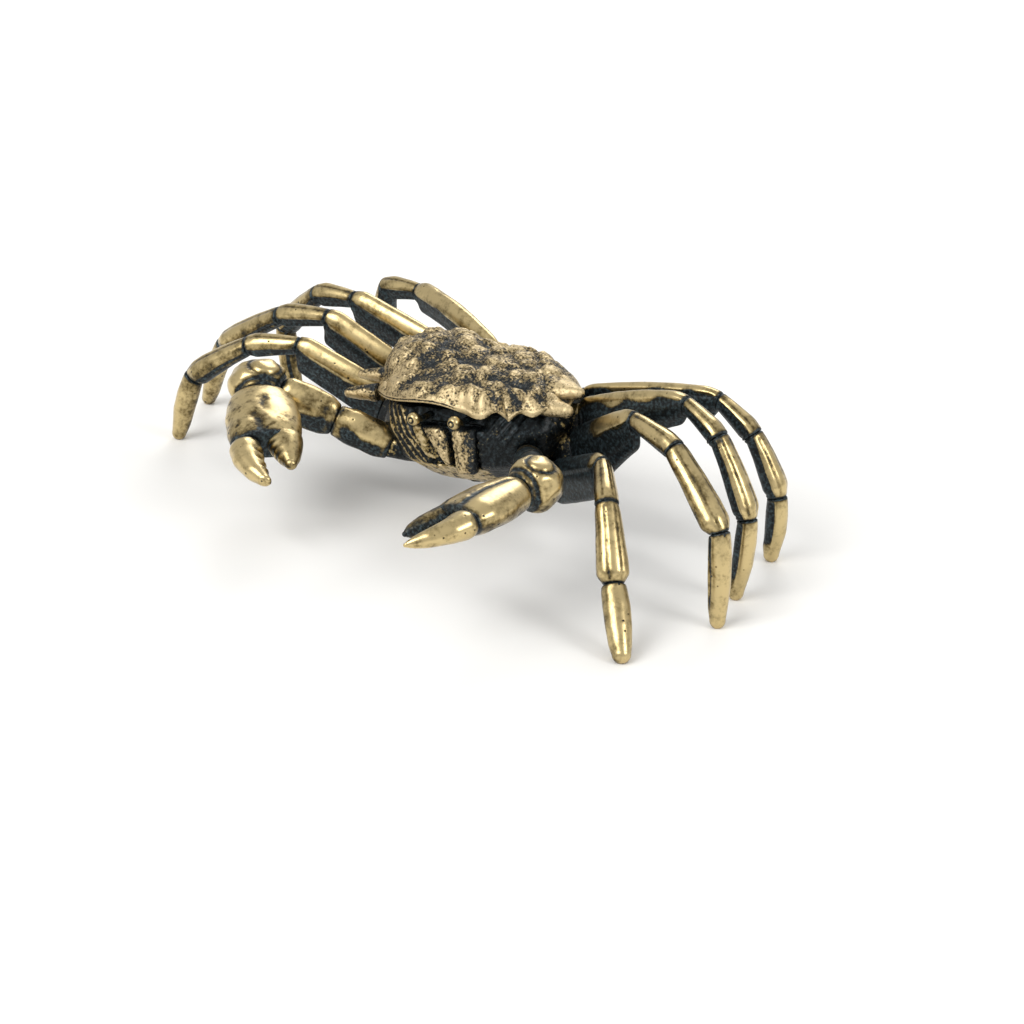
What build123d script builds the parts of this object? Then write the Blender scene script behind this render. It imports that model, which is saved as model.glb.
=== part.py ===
from build123d import *
import os
from math import atan2, cos, degrees, radians, sin

os.makedirs("parts", exist_ok=True)

# A small solid brass crab standing on the tips of its eight walking legs.
# The crab faces -Y, its left is +X, and its leg tips stand on the plane z = 0.
# The origin is under the middle of its bounding box.
# Lengths are in millimetres, angles in degrees.

# Shell and trunk
shell_width = 15.2  # widest part of the shell, without its spines
shell_length = 10.2  # brow to rear edge
shell_crown = 2.5  # top of the crown above the seam with the trunk
shell_rim = 0.95  # height of the rim at the flanks
brow_lift = 0.45  # how far the brow is lifted over the eyes
spine_length = 2.1
spine_root = 0.62  # radius of a spine inside the shell
spine_tip = 0.24
front_spine_rise = 0.35
rear_spine_rise = 1.15
back_radius = 3.4  # the back rises towards the crab's right, as a low round hill
back_foot = 0.5  # its foot above the seam
back_height = 3.1
lump_radius = 1.3  # radius of the round lumps on the crown
lump_height = 0.3  # how far a lump stands out of the crown
flank_inset = 0.5  # the trunk stands in from the shell's edge by this much at its flanks
end_inset = 0.45  # and by this much at its front and rear
trunk_depth = 5.2  # seam to belly
body_height = 8.1  # ground to the seam, on the middle line
body_aside = 1.1  # the body's centre from the middle of the whole crab, to its left
body_behind = 5.0  # and to the rear, because the claws reach far ahead
body_turn = 10  # the body faces a little to the crab's left
body_tilt = 9.5  # the crab's left flank is raised

# Face and belly
eye_radius = 0.44
eye_dimple = 0.2
eye_stalk = 0.24  # radius of a stalk
eye_gap = 3.3  # between the centres of the eyes
eye_drop = 0.1  # centres of the eyes below the seam
eye_socket_drop = 0.36  # sockets of the stalks below the seam
eye_reach = 0.87  # centres of the eyes ahead of the trunk
socket_depth = 0.5
socket_clearance = 0.03
mouth_width = 4.2
mouth_height = 2.6
mouth_drop = 0.85  # top of the mouth below the seam
mouth_sink = 0.48  # floor of the mouth behind the front of the trunk
mouth_clearance = 0.06
plate_thickness = 0.75
flap_width = 4.6
flap_length = 4.6
flap_thickness = 0.5

# Walking legs, front to rear: lengths of upper leg, knee and shin
upper_1, knee_1, shin_1 = 7.2, 3.8, 5.15
upper_2, knee_2, shin_2 = 7.4, 4.1, 6.2
upper_3, knee_3, shin_3 = 9.2, 3.3, 5.45
upper_4, knee_4, shin_4 = 10.4, 3.2, 4.35
upper_across, upper_tall = 1.5, 2.5
root_across = 1.15  # an upper leg is thinner where it leaves the body
upper_rise = 0.95  # top edge of an upper leg above the line through its joints
knee_across, knee_tall = 1.45, 1.55
shin_across, shin_tall = 1.95, 1.65
toe_across, toe_tall = 1.45, 1.5
toe_radius = 0.6
toe_flat = 0.1  # depth of the flat worn on each toe where it stands
shoulder = 0.62  # each segment swells over this length from its seam

# Claws
base_length = 4.1
arm_length = 4.2
base_across, base_tall = 2.1, 2.3
arm_across, arm_tall = 2.2, 2.8
wrist_radius = 1.8
wrist_seam = 1.45  # from the centre of the wrist to the seams on both its sides
palm_length = 5.6
palm_width = 5.0
palm_thick = 2.7
finger_length = 4.2
finger_width = 1.95
finger_thick = 1.7
finger_tip = 0.3

half_width, half_length = shell_width / 2, shell_length / 2
trunk_width, trunk_length = shell_width - 2 * flank_inset, shell_length - 2 * end_inset

# Outline of the left half of the shell, from the brow to the last tooth
tooth_shares = [
    (0.00, -0.98), (0.17, -1.06), (0.37, -1.02), (0.47, -0.84), (0.64, -0.96),
    (0.72, -0.80), (0.84, -0.83), (0.89, -0.63), (1.00, -0.66), (0.96, -0.44), (1.03, -0.30),
]
# Rear outline of the left and the right half, from the flank to the middle of the rear edge
rear_shares = {
    1: [(1.00, -0.02), (0.97, 0.18), (0.80, 0.48), (0.42, 0.78), (0.00, 0.93)],
    -1: [(1.00, 0.00), (0.95, 0.45), (0.70, 0.84), (0.00, 0.93)],
}
# Middle of the raised back, and its steps: share of its height, and taper
back_place_shares = (-0.56, 0.22)
back_shares = [(0.34, 10), (0.31, 45), (0.22, 60), (0.13, 62)]
# Tips of the front and rear spines
spine_shares = [(1.22, -0.68), (1.21, -0.36)]
# Round lumps on the left half of the crown: place and size
lump_shares = [
    (0.20, -0.62, 0.80), (0.54, -0.62, 0.75), (0.34, -0.20, 1.05), (0.72, -0.20, 0.85),
    (0.60, 0.24, 1.00), (0.22, 0.46, 0.85),
]
# Levels of the trunk: height, width, and its front and rear edge
trunk_shares = [
    (0.00, 0.93, -0.90, 0.92), (-0.29, 1.00, -1.05, 0.95),
    (-0.66, 0.87, -1.03, 0.82), (-1.00, 0.50, -0.68, 0.56),
]
# Where each leg leaves the body: shares of half the width, half the length and the depth
hip_shares = {
    "left_1": (0.99, -0.65, -0.75), "left_2": (0.99, -0.18, -0.50),
    "left_3": (0.98, 0.08, -0.18), "left_4": (0.71, 0.75, -0.24),
    "right_1": (-1.06, -0.07, -0.17), "right_2": (-1.05, 0.49, -0.11),
    "right_3": (-0.79, 1.04, 0.00), "right_4": (-0.46, 1.26, 0.07),
}
trunk_front = -trunk_shares[1][2] * trunk_length / 2
mouth_floor = trunk_front - mouth_sink
hip_root_shares = (0.62, 0.55, -0.10)  # a hip's root in the trunk, against the hip itself
claw_hip_shares = {"left": (0.74, -0.70, -0.58), "right": (-0.74, -0.70, -0.58)}
# Outline of one mouth plate, from the middle line outwards, and of half the belly flap
plate_shares = [(0.04, 0.0), (0.92, 0.0), (1.0, -0.22), (0.62, -1.0), (0.04, -0.94)]
flap_shares = [(0.0, -1.0), (0.42, -0.86), (0.62, -0.5), (1.0, 0.35), (0.9, 1.0), (0.0, 1.0)]

# Heading (0 is straight out, forward is negative) and pitch of upper leg, knee, shin and toe
leg_angles = {
    "left_1": ((-19, -42, -37, -37), (26, -15, -52, -43)),
    "left_2": ((-9, -9, -10, -42), (31, -7, -39, -83)),
    "left_3": ((4, -7, -2, 57), (19, -21, -59, -96)),
    "left_4": ((13, 3, 13, 85), (12, -29, -63, -94)),
    "right_1": ((-21, -24, -25, -20), (21, -9, -35, -74)),
    "right_2": ((-19, -10, -10, 9), (27, -11, -34, -64)),
    "right_3": ((-11, -7, 5, 8), (16, -7, -43, -104)),
    "right_4": ((13, -2, 33, 31), (6, -9, -70, -73)),
}
# Height of each upper leg beside the body and at its knee, and how far its middle is arched
keel_shares = {
    "left_1": (1.20, 1.20, 0.0), "left_2": (1.85, 1.02, 0.04),
    "left_3": (1.70, 0.85, 0.12), "left_4": (1.10, 0.85, 0.12),
    "right_1": (1.0, 0.95, 0.0), "right_2": (1.0, 0.95, 0.04),
    "right_3": (0.95, 0.9, 0.06), "right_4": (0.9, 0.85, 0.16),
}
leg_lengths = {
    "1": (upper_1, knee_1, shin_1),
    "2": (upper_2, knee_2, shin_2),
    "3": (upper_3, knee_3, shin_3),
    "4": (upper_4, knee_4, shin_4),
}
leg_girths = [
    (upper_across, upper_tall), (knee_across, knee_tall),
    (shin_across, shin_tall), (toe_across, toe_tall),
]
seam_shares = (0.86, 0.80, 0.80, 0.82)  # girth of each seam against the piece outside it
# Arm: heading and pitch; hand: heading, pitch and roll about its own length
claw_angles = {"left": ((-43, 15), (-90, -3, 16)), "right": ((-34, 21), (-142, -11.5, 0))}

# Reach of a limb's section at each of its corners: a hollow runs down both flanks
hollow_shares = [0.84, 1, 1, 1, 0.84, 0.88, 1, 1, 1, 0.88]

# Closing steps of a round end: share of its radius gone forward, and taper of the step
tip_shares = [(0.38, 13), (0.35, 36), (0.21, 60)]

# The body's own axes
turn, tilt = radians(body_turn), radians(body_tilt)
body_plane = Plane(
    origin=(body_aside, body_behind, body_height),
    x_dir=(cos(turn) * cos(tilt), sin(turn) * cos(tilt), sin(tilt)),
    z_dir=(-cos(turn) * sin(tilt), -sin(turn) * sin(tilt), cos(tilt)),
)
body_out, body_back = body_plane.x_dir, body_plane.y_dir


def body_point(x, y, z):
    return body_plane.from_local_coords(Vector(x, y, z))


def body_level(x, y, z):
    # Plane level with the shell's seam, at a point of the body
    return Plane(origin=body_point(x, y, z), x_dir=body_out, z_dir=body_plane.z_dir)


def face_plane(x, y, z):
    # Plane that looks forward from the body: its x axis is the crab's left, its y axis is up
    return Plane(origin=body_point(x, y, z), x_dir=body_out, z_dir=-body_back)


def save(piece, label):
    piece.part.label = label
    export_step(piece.part, f"parts/{label}.step")


def aim(side, heading, pitch):
    # Unit vector of a limb: side is 1 on the crab's left and -1 on its right
    level = cos(radians(pitch))
    ahead = radians(heading)
    return Vector(side * level * cos(ahead), level * sin(ahead), sin(radians(pitch)))


def square_plane(origin, along, across):
    # Plane square to a limb, with its x axis across the limb
    return Plane(origin=origin, x_dir=across - along * across.dot(along), z_dir=along)


def section_points(half_across, half_tall, hollow):
    corners = len(hollow_shares)
    points = []
    for corner, share in enumerate(hollow_shares):
        angle = radians(360 * (corner + 0.5) / corners)
        reach = 1 - hollow * (1 - share)
        points.append((half_across * reach * cos(angle), half_tall * reach * sin(angle)))
    return points


def limb(stations, ruled=False):
    # A loft: each station is a plane, the half axes across and along it, and how hollow it is
    with BuildPart() as piece:
        for place, half_across, half_tall, hollow in stations:
            with BuildSketch(place):
                with BuildLine():
                    Polyline(*section_points(half_across, half_tall, hollow), close=True)
                make_face()
        loft(ruled=ruled)
    return piece


def swell(start, along, across, length, girths):
    # Stations square to a limb: girths are (share of the length, half across, half tall, hollow)
    return [
        (square_plane(start + along * (length * share), along, across), half_a, half_t, hollow)
        for share, half_a, half_t, hollow in girths
    ]


def end_face(piece, place):
    # The face furthest along a plane's z axis, or nothing while the piece is empty
    if not piece.part:
        return None
    return piece.faces().sort_by(Axis(place.origin, place.z_dir))[-1]


def blunt(place, radius):
    # Closes a round end in steps that taper more and more
    with BuildPart() as piece:
        with BuildSketch(place):
            with BuildLine():
                Polyline(*section_points(radius, radius, 0), close=True)
            make_face()
        for share, taper in tip_shares:
            extrude(end_face(piece, place), amount=radius * share, dir=place.z_dir, taper=taper)
    return piece


def ball(centre, pole, out, radius):
    with BuildPart() as piece:
        for way in (pole, -pole):
            add(blunt(Plane(origin=centre, x_dir=out, z_dir=way), radius).part)
    return piece


# Shell: a toothed outline under an oval crown, with spines at its corners and round lumps

crown_width, crown_length = half_width * 1.25, half_length * 1.45
crown_height = shell_crown + shell_rim * 1.6
crown_corners, back_corners, spine_corners, lump_corners = 20, 14, 8, 7
crown_latitudes = (15, 35, 50, 64, 78)  # of the dome's flat facets, in degrees
lump_tapers = (12, 40)


def crown_top(x, y):
    hollow = 1 - (x / crown_width) ** 2 - (y / crown_length) ** 2
    return shell_crown - crown_height * (1 - hollow**0.5)


def crown_section(latitude):
    # Oval of the dome at a latitude: its plane and its corners
    level, reach = sin(radians(latitude)), cos(radians(latitude))
    points = []
    for corner in range(crown_corners):
        angle = radians(360 * (corner + 0.5) / crown_corners)
        points.append((crown_width * reach * cos(angle), crown_length * reach * sin(angle)))
    return body_level(0, 0, shell_crown - crown_height * (1 - level)), points


def shell_outline():
    with BuildLine() as line:
        for side in (1, -1):
            teeth = [(side * x * half_width, y * half_length) for x, y in tooth_shares]
            rear = [(side * x * half_width, y * half_length) for x, y in rear_shares[side]]
            Polyline(*teeth, rear[0])
            Spline(*rear, tangents=[(0, 1), (-side, 0)])
    return line.line


def spine(side, shares, rise):
    # A blunt cone from inside the shell's rim out to the spine's tip
    tip = body_point(side * shares[0] * half_width, shares[1] * half_length, rise)
    root = body_point(side * (shares[0] * half_width - spine_length), shares[1] * half_length, rise)
    along = (tip - root).normalized()
    foot = Plane(origin=root, x_dir=body_back, z_dir=along)
    taper = degrees(atan2(spine_root - spine_tip, spine_length))
    with BuildPart() as piece:
        with BuildSketch(foot):
            RegularPolygon(spine_root, spine_corners)
        extrude(amount=spine_length, taper=taper)
    return piece


def lump(x, y, radius):
    # A low dome in two tapered steps, from under the crown's surface up
    place = body_level(x, y, crown_top(x, y) - lump_height * 2)
    with BuildPart() as piece:
        with BuildSketch(place):
            RegularPolygon(radius, lump_corners)
        for taper in lump_tapers:
            extrude(end_face(piece, place), amount=lump_height * 1.5, dir=place.z_dir, taper=taper)
    return piece


def raised_back():
    # A round hill in tapered steps, from inside the crown
    x_share, y_share = back_place_shares
    place = body_level(x_share * half_width, y_share * half_length, back_foot)
    with BuildPart() as piece:
        with BuildSketch(place):
            RegularPolygon(back_radius, back_corners)
        for share, taper in back_shares:
            extrude(end_face(piece, place), amount=back_height * share, dir=place.z_dir, taper=taper)
    return piece


outline = shell_outline()

with BuildPart() as crown:
    for latitude in crown_latitudes:
        place, points = crown_section(latitude)
        with BuildSketch(place):
            with BuildLine():
                Polyline(*points, close=True)
            make_face()
    loft(ruled=True)

with BuildPart() as shell:
    with BuildSketch(body_plane):
        add(outline)
        make_face()
    extrude(amount=shell_crown)
    add(crown.part, mode=Mode.INTERSECT)
    add(raised_back().part)
    for side in (1, -1):
        for x_share, y_share, size_share in lump_shares:
            x, y = side * x_share * half_width, y_share * half_length
            add(lump(x, y, lump_radius * size_share).part)
        for shares, rise in zip(spine_shares, (front_spine_rise, rear_spine_rise)):
            add(spine(side, shares, rise).part)
    # The spines and lumps end at the seam, and the brow is lifted clear of the eyes
    split(bisect_by=body_plane, keep=Keep.TOP)
    with BuildSketch(body_level(0, -trunk_length * 0.46, 0)):
        Rectangle(eye_gap * 2.2, half_length, align=(Align.CENTER, Align.MAX))
    extrude(amount=brow_lift, mode=Mode.SUBTRACT)

save(shell, "shell")


# Trunk: a rounded hull under the shell, with a hip for each leg and claw

trunk_corners = 20
trunk_bluntness = 0.72  # power that squares the hull's outline


def trunk_section(height_share, width_share, front_share, rear_share):
    middle = (front_share + rear_share) * trunk_length / 4
    reach = (rear_share - front_share) * trunk_length / 4
    points = []
    for corner in range(trunk_corners):
        angle = radians(360 * (corner + 0.5) / trunk_corners)
        x = abs(cos(angle)) ** trunk_bluntness * (1 if cos(angle) > 0 else -1)
        y = abs(sin(angle)) ** trunk_bluntness * (1 if sin(angle) > 0 else -1)
        points.append((x * width_share * trunk_width / 2, middle + y * reach))
    return body_level(0, 0, height_share * trunk_depth), points


def hip(seat, half_across, half_tall, across):
    # A short neck from inside the trunk to the flat seat of a limb
    local = body_plane.to_local_coords(seat.origin)
    x_share, y_share, drop_share = hip_root_shares
    root = body_point(local.X * x_share, local.Y * y_share, local.Z + drop_share * trunk_depth)
    along = (seat.origin - root).normalized()
    girth = [(0, half_across * 2, half_tall, 0)]
    return limb(swell(root, along, across, 1, girth) + [(seat, half_across, half_tall, 0)])


def leg_frames(name):
    # Joints, directions, seams and how much the bend stretches each seam
    side = 1 if name.startswith("left") else -1
    headings, pitches = leg_angles[name]
    x_share, y_share, z_share = hip_shares[name]
    joints = [body_point(x_share * half_width, y_share * half_length, z_share * trunk_depth)]
    ways = [aim(side, heading, pitch) for heading, pitch in zip(headings, pitches)]
    for way, length in zip(ways, leg_lengths[name[-1]]):
        joints.append(joints[-1] + way * length)
    # The toe is as long as it takes to stand on the ground
    toe_height = toe_radius - toe_flat
    joints.append(joints[-1] + ways[3] * ((joints[-1].Z - toe_height) / -ways[3].Z))
    out = ways[0] + ways[1] + ways[2]
    across = Vector(-out.Y, out.X, 0).normalized()
    seams, stretches = [square_plane(joints[0], ways[0], across)], [1]
    for i in range(1, 4):
        middle = (ways[i - 1] + ways[i]).normalized()
        seams.append(square_plane(joints[i], middle, across))
        stretches.append(1 / middle.dot(ways[i]))
    return joints, ways, across, seams, stretches


def seam_girth(i, stretches):
    across, tall = leg_girths[i]
    share = seam_shares[i] / 2
    return across * share, tall * share * stretches[i]


def keel(name, place, share):
    # An upper leg's height at a share of its length, and its section's plane at that place
    near, far, arch = keel_shares[name]
    tall = upper_tall * (near + (far - near) * share)
    rise = upper_rise + upper_tall * arch * sin(radians(180 * share)) - tall / 2
    return tall, Plane(place.origin + place.y_dir * rise, place.x_dir, place.z_dir)


def hip_seat(name, seams):
    # Seam between the trunk's hip and the upper leg
    tall, place = keel(name, seams[0], 0)
    return place, root_across * seam_shares[0] / 2, tall * seam_shares[0] / 2


def claw_frames(name):
    # Hip, wrist and the axes of arm and hand
    side = 1 if name == "left" else -1
    (arm_heading, arm_pitch), (heading, pitch, roll) = claw_angles[name]
    x_share, y_share, z_share = claw_hip_shares[name]
    root = body_point(x_share * half_width, y_share * half_length, z_share * trunk_depth)
    arm_way = aim(side, arm_heading, arm_pitch)
    wrist = root + arm_way * (base_length + arm_length + wrist_seam)
    hand_way = aim(side, heading, pitch)
    level = Vector(-hand_way.Y, hand_way.X, 0).normalized()
    rise = hand_way.cross(level)
    broad = level * cos(radians(roll)) + rise * sin(radians(roll))
    arm_across = Vector(-arm_way.Y, arm_way.X, 0).normalized()
    return side, root, arm_way, arm_across, wrist, hand_way, broad


with BuildPart() as trunk:
    for shares in trunk_shares:
        place, points = trunk_section(*shares)
        with BuildSketch(place):
            with BuildLine():
                Polyline(*points, close=True)
            make_face()
    loft(ruled=True)
    for name in leg_angles:
        joints, ways, across, seams, stretches = leg_frames(name)
        add(hip(*hip_seat(name, seams), across).part)
    for name in claw_angles:
        side, root, arm_way, arm_across_way, wrist, hand_way, broad = claw_frames(name)
        seat = square_plane(root, arm_way, arm_across_way)
        add(hip(seat, base_across * 0.4, base_tall * 0.4, arm_across_way).part)
        with BuildSketch(seat):
            Rectangle(base_across * 1.2, base_tall * 1.2)
        extrude(amount=base_length, mode=Mode.SUBTRACT)
    # The hips stay clear of the shell
    with BuildSketch(body_plane):
        add(outline)
        make_face()
    extrude(amount=shell_crown, mode=Mode.SUBTRACT)
    # Mouth and eye sockets
    with BuildSketch(face_plane(0, -mouth_floor, -mouth_drop)):
        Rectangle(mouth_width, mouth_height, align=(Align.CENTER, Align.MAX))
    extrude(amount=trunk_length, mode=Mode.SUBTRACT)
    for side in (1, -1):
        with BuildSketch(face_plane(side * eye_gap / 2, socket_depth - mouth_floor, -eye_socket_drop)):
            Circle(eye_stalk + socket_clearance)
        extrude(amount=trunk_length, mode=Mode.SUBTRACT)

save(trunk, "trunk")


# Eyes: a ball with a dimple, on a stalk that sits in its socket

stalk_corners = 8

for side, label in ((1, "left_eye"), (-1, "right_eye")):
    stalk_foot = body_point(side * eye_gap / 2, socket_depth - mouth_floor, -eye_socket_drop)
    centre = body_point(side * eye_gap / 2, -trunk_front - eye_reach, -eye_drop)
    bend = body_point(side * eye_gap / 2, -mouth_floor - socket_depth, -eye_socket_drop)
    with BuildPart() as eye:
        with BuildLine():
            Polyline(stalk_foot, bend, centre)
        with BuildSketch(Plane(origin=stalk_foot, x_dir=body_out, z_dir=-body_back)):
            RegularPolygon(eye_stalk, stalk_corners)
        sweep(transition=Transition.RIGHT)
        add(ball(centre, -body_back, body_out, eye_radius).part)
        with BuildSketch(Plane(origin=centre - body_back * eye_radius, x_dir=body_out, z_dir=body_back)):
            RegularPolygon(eye_dimple, stalk_corners)
        extrude(amount=eye_dimple, mode=Mode.SUBTRACT)
    save(eye, label)


# Mouth: two plates side by side on the floor of the mouth

for side, label in ((1, "left_mouth_plate"), (-1, "right_mouth_plate")):
    reach = mouth_width / 2 - mouth_clearance
    height = mouth_height - 2 * mouth_clearance
    with BuildPart() as plate:
        with BuildSketch(face_plane(0, -mouth_floor, -mouth_drop - mouth_clearance)):
            with BuildLine():
                Polyline(*[(side * x * reach, y * height) for x, y in plate_shares], close=True)
            make_face()
        extrude(amount=plate_thickness)
        front = end_face(plate, face_plane(0, -mouth_floor, 0))
        chamfer(front.edges(), plate_thickness * 0.35)
    save(plate, label)


# Belly flap, flat against the belly

with BuildPart() as flap:
    middle = (trunk_shares[-1][2] + trunk_shares[-1][3]) * trunk_length / 4
    with BuildSketch(body_level(0, middle, -trunk_depth)):
        with BuildLine():
            for side in (1, -1):
                Polyline(*[(side * x * flap_width / 2, y * flap_length / 2) for x, y in flap_shares])
        make_face()
    extrude(amount=-flap_thickness)
save(flap, "belly_flap")


# Walking legs: upper leg, knee, shin and toe, each seated on the seam of the one before

def leg(name):
    joints, ways, across, seams, stretches = leg_frames(name)
    prefix = f"{name[:-2]}_leg_{name[-1]}"
    for i, segment in enumerate(("upper", "knee", "shin", "toe")):
        length = (joints[i + 1] - joints[i]).length
        half_a, half_t = leg_girths[i][0] / 2, leg_girths[i][1] / 2
        near, far = shoulder / length, 1 - shoulder / length
        seat = [(seams[i], *seam_girth(i, stretches), 0.5)]
        end = [(seams[i + 1], *seam_girth(i + 1, stretches), 0.5)] if segment != "toe" else []
        if segment == "upper":
            seat = [(*hip_seat(name, seams), 0.5)]
            middle = []
            for share, half in ((near, root_across / 2), ((near + far) / 2, half_a), (far, half_a)):
                spot = square_plane(joints[0] + ways[0] * (length * share), ways[0], across)
                tall, place = keel(name, spot, share)
                middle.append((place, half, tall / 2, 1))
        elif segment == "toe":
            girths = [
                (near, half_a, half_t, 1), (0.6, half_a * 0.96, half_t * 0.96, 0.7),
                (1, toe_radius, toe_radius, 0),
            ]
            middle = swell(joints[i], ways[i], across, length, girths)
        else:
            girths = [(near, half_a, half_t, 1), (far, half_a, half_t, 1)]
            middle = swell(joints[i], ways[i], across, length, girths)
        with BuildPart() as piece:
            add(limb(seat + middle + end, ruled=True).part)
            if segment == "toe":
                add(blunt(square_plane(joints[4], ways[3], across), toe_radius).part)
                split(bisect_by=Plane.XY, keep=Keep.TOP)
        save(piece, f"{prefix}_{segment}")


for name in leg_angles:
    leg(name)


# Claws: base, arm, wrist, palm with its fixed finger, and the free finger

def claw(name):
    side, root, arm_way, arm_across_way, wrist, hand_way, broad = claw_frames(name)
    half_a, half_t = base_across / 2, base_tall / 2
    girths = [
        (0, half_a * 0.8, half_t * 0.8, 0), (0.2, half_a * 0.98, half_t * 0.98, 0),
        (0.7, half_a, half_t, 0), (1, half_a * 0.85, half_t * 0.85, 0),
    ]
    save(limb(swell(root, arm_way, arm_across_way, base_length, girths)), f"{name}_claw_base")
    elbow = root + arm_way * base_length
    half_a, half_t = arm_across / 2, arm_tall / 2
    girths = [
        (0, base_across * 0.425, base_tall * 0.425, 0), (0.18, half_a * 0.9, half_t * 0.92, 0.5),
        (0.6, half_a, half_t, 1), (0.88, half_a * 0.9, half_t * 0.92, 0.5),
        (1, half_a * 0.72, half_t * 0.72, 0),
    ]
    save(limb(swell(elbow, arm_way, arm_across_way, arm_length, girths)), f"{name}_claw_arm")

    # The wrist is a ball cut flat where the arm and the palm meet it
    arm_seam = square_plane(wrist - arm_way * wrist_seam, arm_way, arm_across_way)
    palm_seam = square_plane(wrist + hand_way * wrist_seam, hand_way, broad)
    with BuildPart() as joint:
        add(ball(wrist, Vector(0, 0, 1), arm_across_way, wrist_radius).part)
        split(bisect_by=arm_seam, keep=Keep.TOP)
        split(bisect_by=palm_seam, keep=Keep.BOTTOM)
    save(joint, f"{name}_claw_wrist")

    half_a, half_t = palm_width / 2, palm_thick / 2
    start = wrist + hand_way * wrist_seam
    girths = [
        (0, half_a * 0.40, half_t * 0.72, 0), (0.16, half_a * 0.74, half_t * 0.94, 0),
        (0.45, half_a * 0.97, half_t, 0), (0.78, half_a, half_t * 0.97, 0),
        (1, half_a * 0.92, half_t * 0.8, 0),
    ]
    palm_end = start + hand_way * palm_length
    inward = broad * -side
    spread = half_a * 0.52
    fixed_girths = [
        (-0.12, finger_width * 0.5, finger_thick * 0.5, spread),
        (0.0, finger_width * 0.5, finger_thick * 0.5, spread),
        (0.25, finger_width * 0.42, finger_thick * 0.42, spread * 1.2),
        (0.48, finger_width * 0.25, finger_thick * 0.28, spread * 1.36),
        (0.6, finger_tip * 0.6, finger_tip * 0.6, spread * 1.4),
    ]
    free_girths = [
        (0.0, finger_width * 0.5, finger_thick * 0.5, spread),
        (0.12, finger_width * 0.55, finger_thick * 0.55, spread * 1.04),
        (0.4, finger_width * 0.45, finger_thick * 0.45, spread),
        (0.75, finger_width * 0.3, finger_thick * 0.32, spread * 0.6),
        (0.94, finger_tip, finger_tip, spread * 0.22),
        (1.0, finger_tip * 0.5, finger_tip * 0.5, spread * 0.1),
    ]

    def finger(girths, way):
        stations = []
        for share, finger_a, finger_t, offset in girths:
            centre = palm_end + hand_way * (finger_length * share) + way * offset
            stations.append((square_plane(centre, hand_way, broad), finger_a, finger_t, 0))
        return limb(stations)

    with BuildPart() as palm:
        add(limb(swell(start, hand_way, broad, palm_length, girths)).part)
        add(finger(fixed_girths, inward).part)
    save(palm, f"{name}_claw_palm")
    save(finger(free_girths, inward * -1), f"{name}_claw_finger")


for name in claw_angles:
    claw(name)
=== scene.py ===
import bpy
import numpy as np
from mathutils import Matrix


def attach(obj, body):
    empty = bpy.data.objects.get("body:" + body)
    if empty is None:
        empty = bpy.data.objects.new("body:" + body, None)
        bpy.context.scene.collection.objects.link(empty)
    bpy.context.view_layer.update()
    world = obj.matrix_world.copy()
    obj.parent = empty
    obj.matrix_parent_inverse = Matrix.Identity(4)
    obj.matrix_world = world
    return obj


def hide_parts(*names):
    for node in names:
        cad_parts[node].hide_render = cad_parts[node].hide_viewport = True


# A small brass crab, cast, blackened and rubbed bright on its high places.
# Lengths are in millimetres and become metres when a mesh is made. Angles are in degrees.

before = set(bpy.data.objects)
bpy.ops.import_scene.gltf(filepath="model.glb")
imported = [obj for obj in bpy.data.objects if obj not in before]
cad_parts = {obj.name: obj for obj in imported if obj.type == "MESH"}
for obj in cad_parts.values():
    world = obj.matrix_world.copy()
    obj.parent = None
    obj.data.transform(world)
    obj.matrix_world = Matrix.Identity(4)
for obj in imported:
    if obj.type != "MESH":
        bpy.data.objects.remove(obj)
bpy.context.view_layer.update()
print("frame loaded:", len(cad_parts), "nodes")

# Sums that several pieces share

metresPerMm = 0.001
latticeSize = 32
lattice = np.random.default_rng(11).random((latticeSize, latticeSize, latticeSize)) * 2 - 1


def unit(v):
    v = np.asarray(v, float)
    return v / np.linalg.norm(v, axis=-1, keepdims=True)


def ease(low, high, x):
    # 0 below low, 1 above high, and a smooth S between them
    t = np.clip((x - low) / (high - low), 0, 1)
    return t * t * (3 - 2 * t)


def band(low, high, soft, x):
    # 1 between low and high, falling to 0 over soft on both sides
    return ease(low - soft, low + soft, x) * (1 - ease(high - soft, high + soft, x))


def bell(x, width):
    return np.exp(-((x / width) ** 2))


def grain(points, size):
    # Value noise: random numbers on a lattice of that size, blended smoothly between its corners
    q = np.asarray(points) / size
    low = np.floor(q).astype(int)
    f = q - low
    f = f * f * (3 - 2 * f)
    total = np.zeros(q.shape[:-1])
    for corner in np.ndindex(2, 2, 2):
        x, y, z = np.moveaxis(np.abs(1 - np.array(corner) - f), -1, 0)
        spot = (low + np.array(corner)) % latticeSize
        total += x * y * z * lattice[spot[..., 0], spot[..., 1], spot[..., 2]]
    return total


def angleFrom(theta, degreesAt):
    # Signed distance in degrees between an angle and a place on the ring
    return (np.degrees(theta) - degreesAt + 180) % 360 - 180


def running(rows, width):
    # Running mean; the rows go on as their own mirror image turned over, so that both end rows stay in place
    kernel = np.hanning(2 * width + 3)[1:-1]
    kernel = kernel / kernel.sum()
    before = 2 * rows[:1] - rows[width:0:-1]
    after = 2 * rows[-1:] - rows[-2:-width - 2:-1]
    padded = np.concatenate([before, rows, after])
    return np.stack([np.convolve(column, kernel, "valid") for column in padded.T], axis=1)


def walkEvenly(corners, count):
    # A closed polygon's points at even steps in its first two columns; a third column goes along with them
    closed = np.array([*corners, corners[0]], float)
    steps = np.linalg.norm(np.diff(closed[:, :2], axis=0), axis=1)
    walked = np.concatenate([[0], np.cumsum(steps)])
    at = np.linspace(0, walked[-1], count, endpoint=False)
    return np.stack([np.interp(at, walked, column) for column in closed.T], axis=1)


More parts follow.
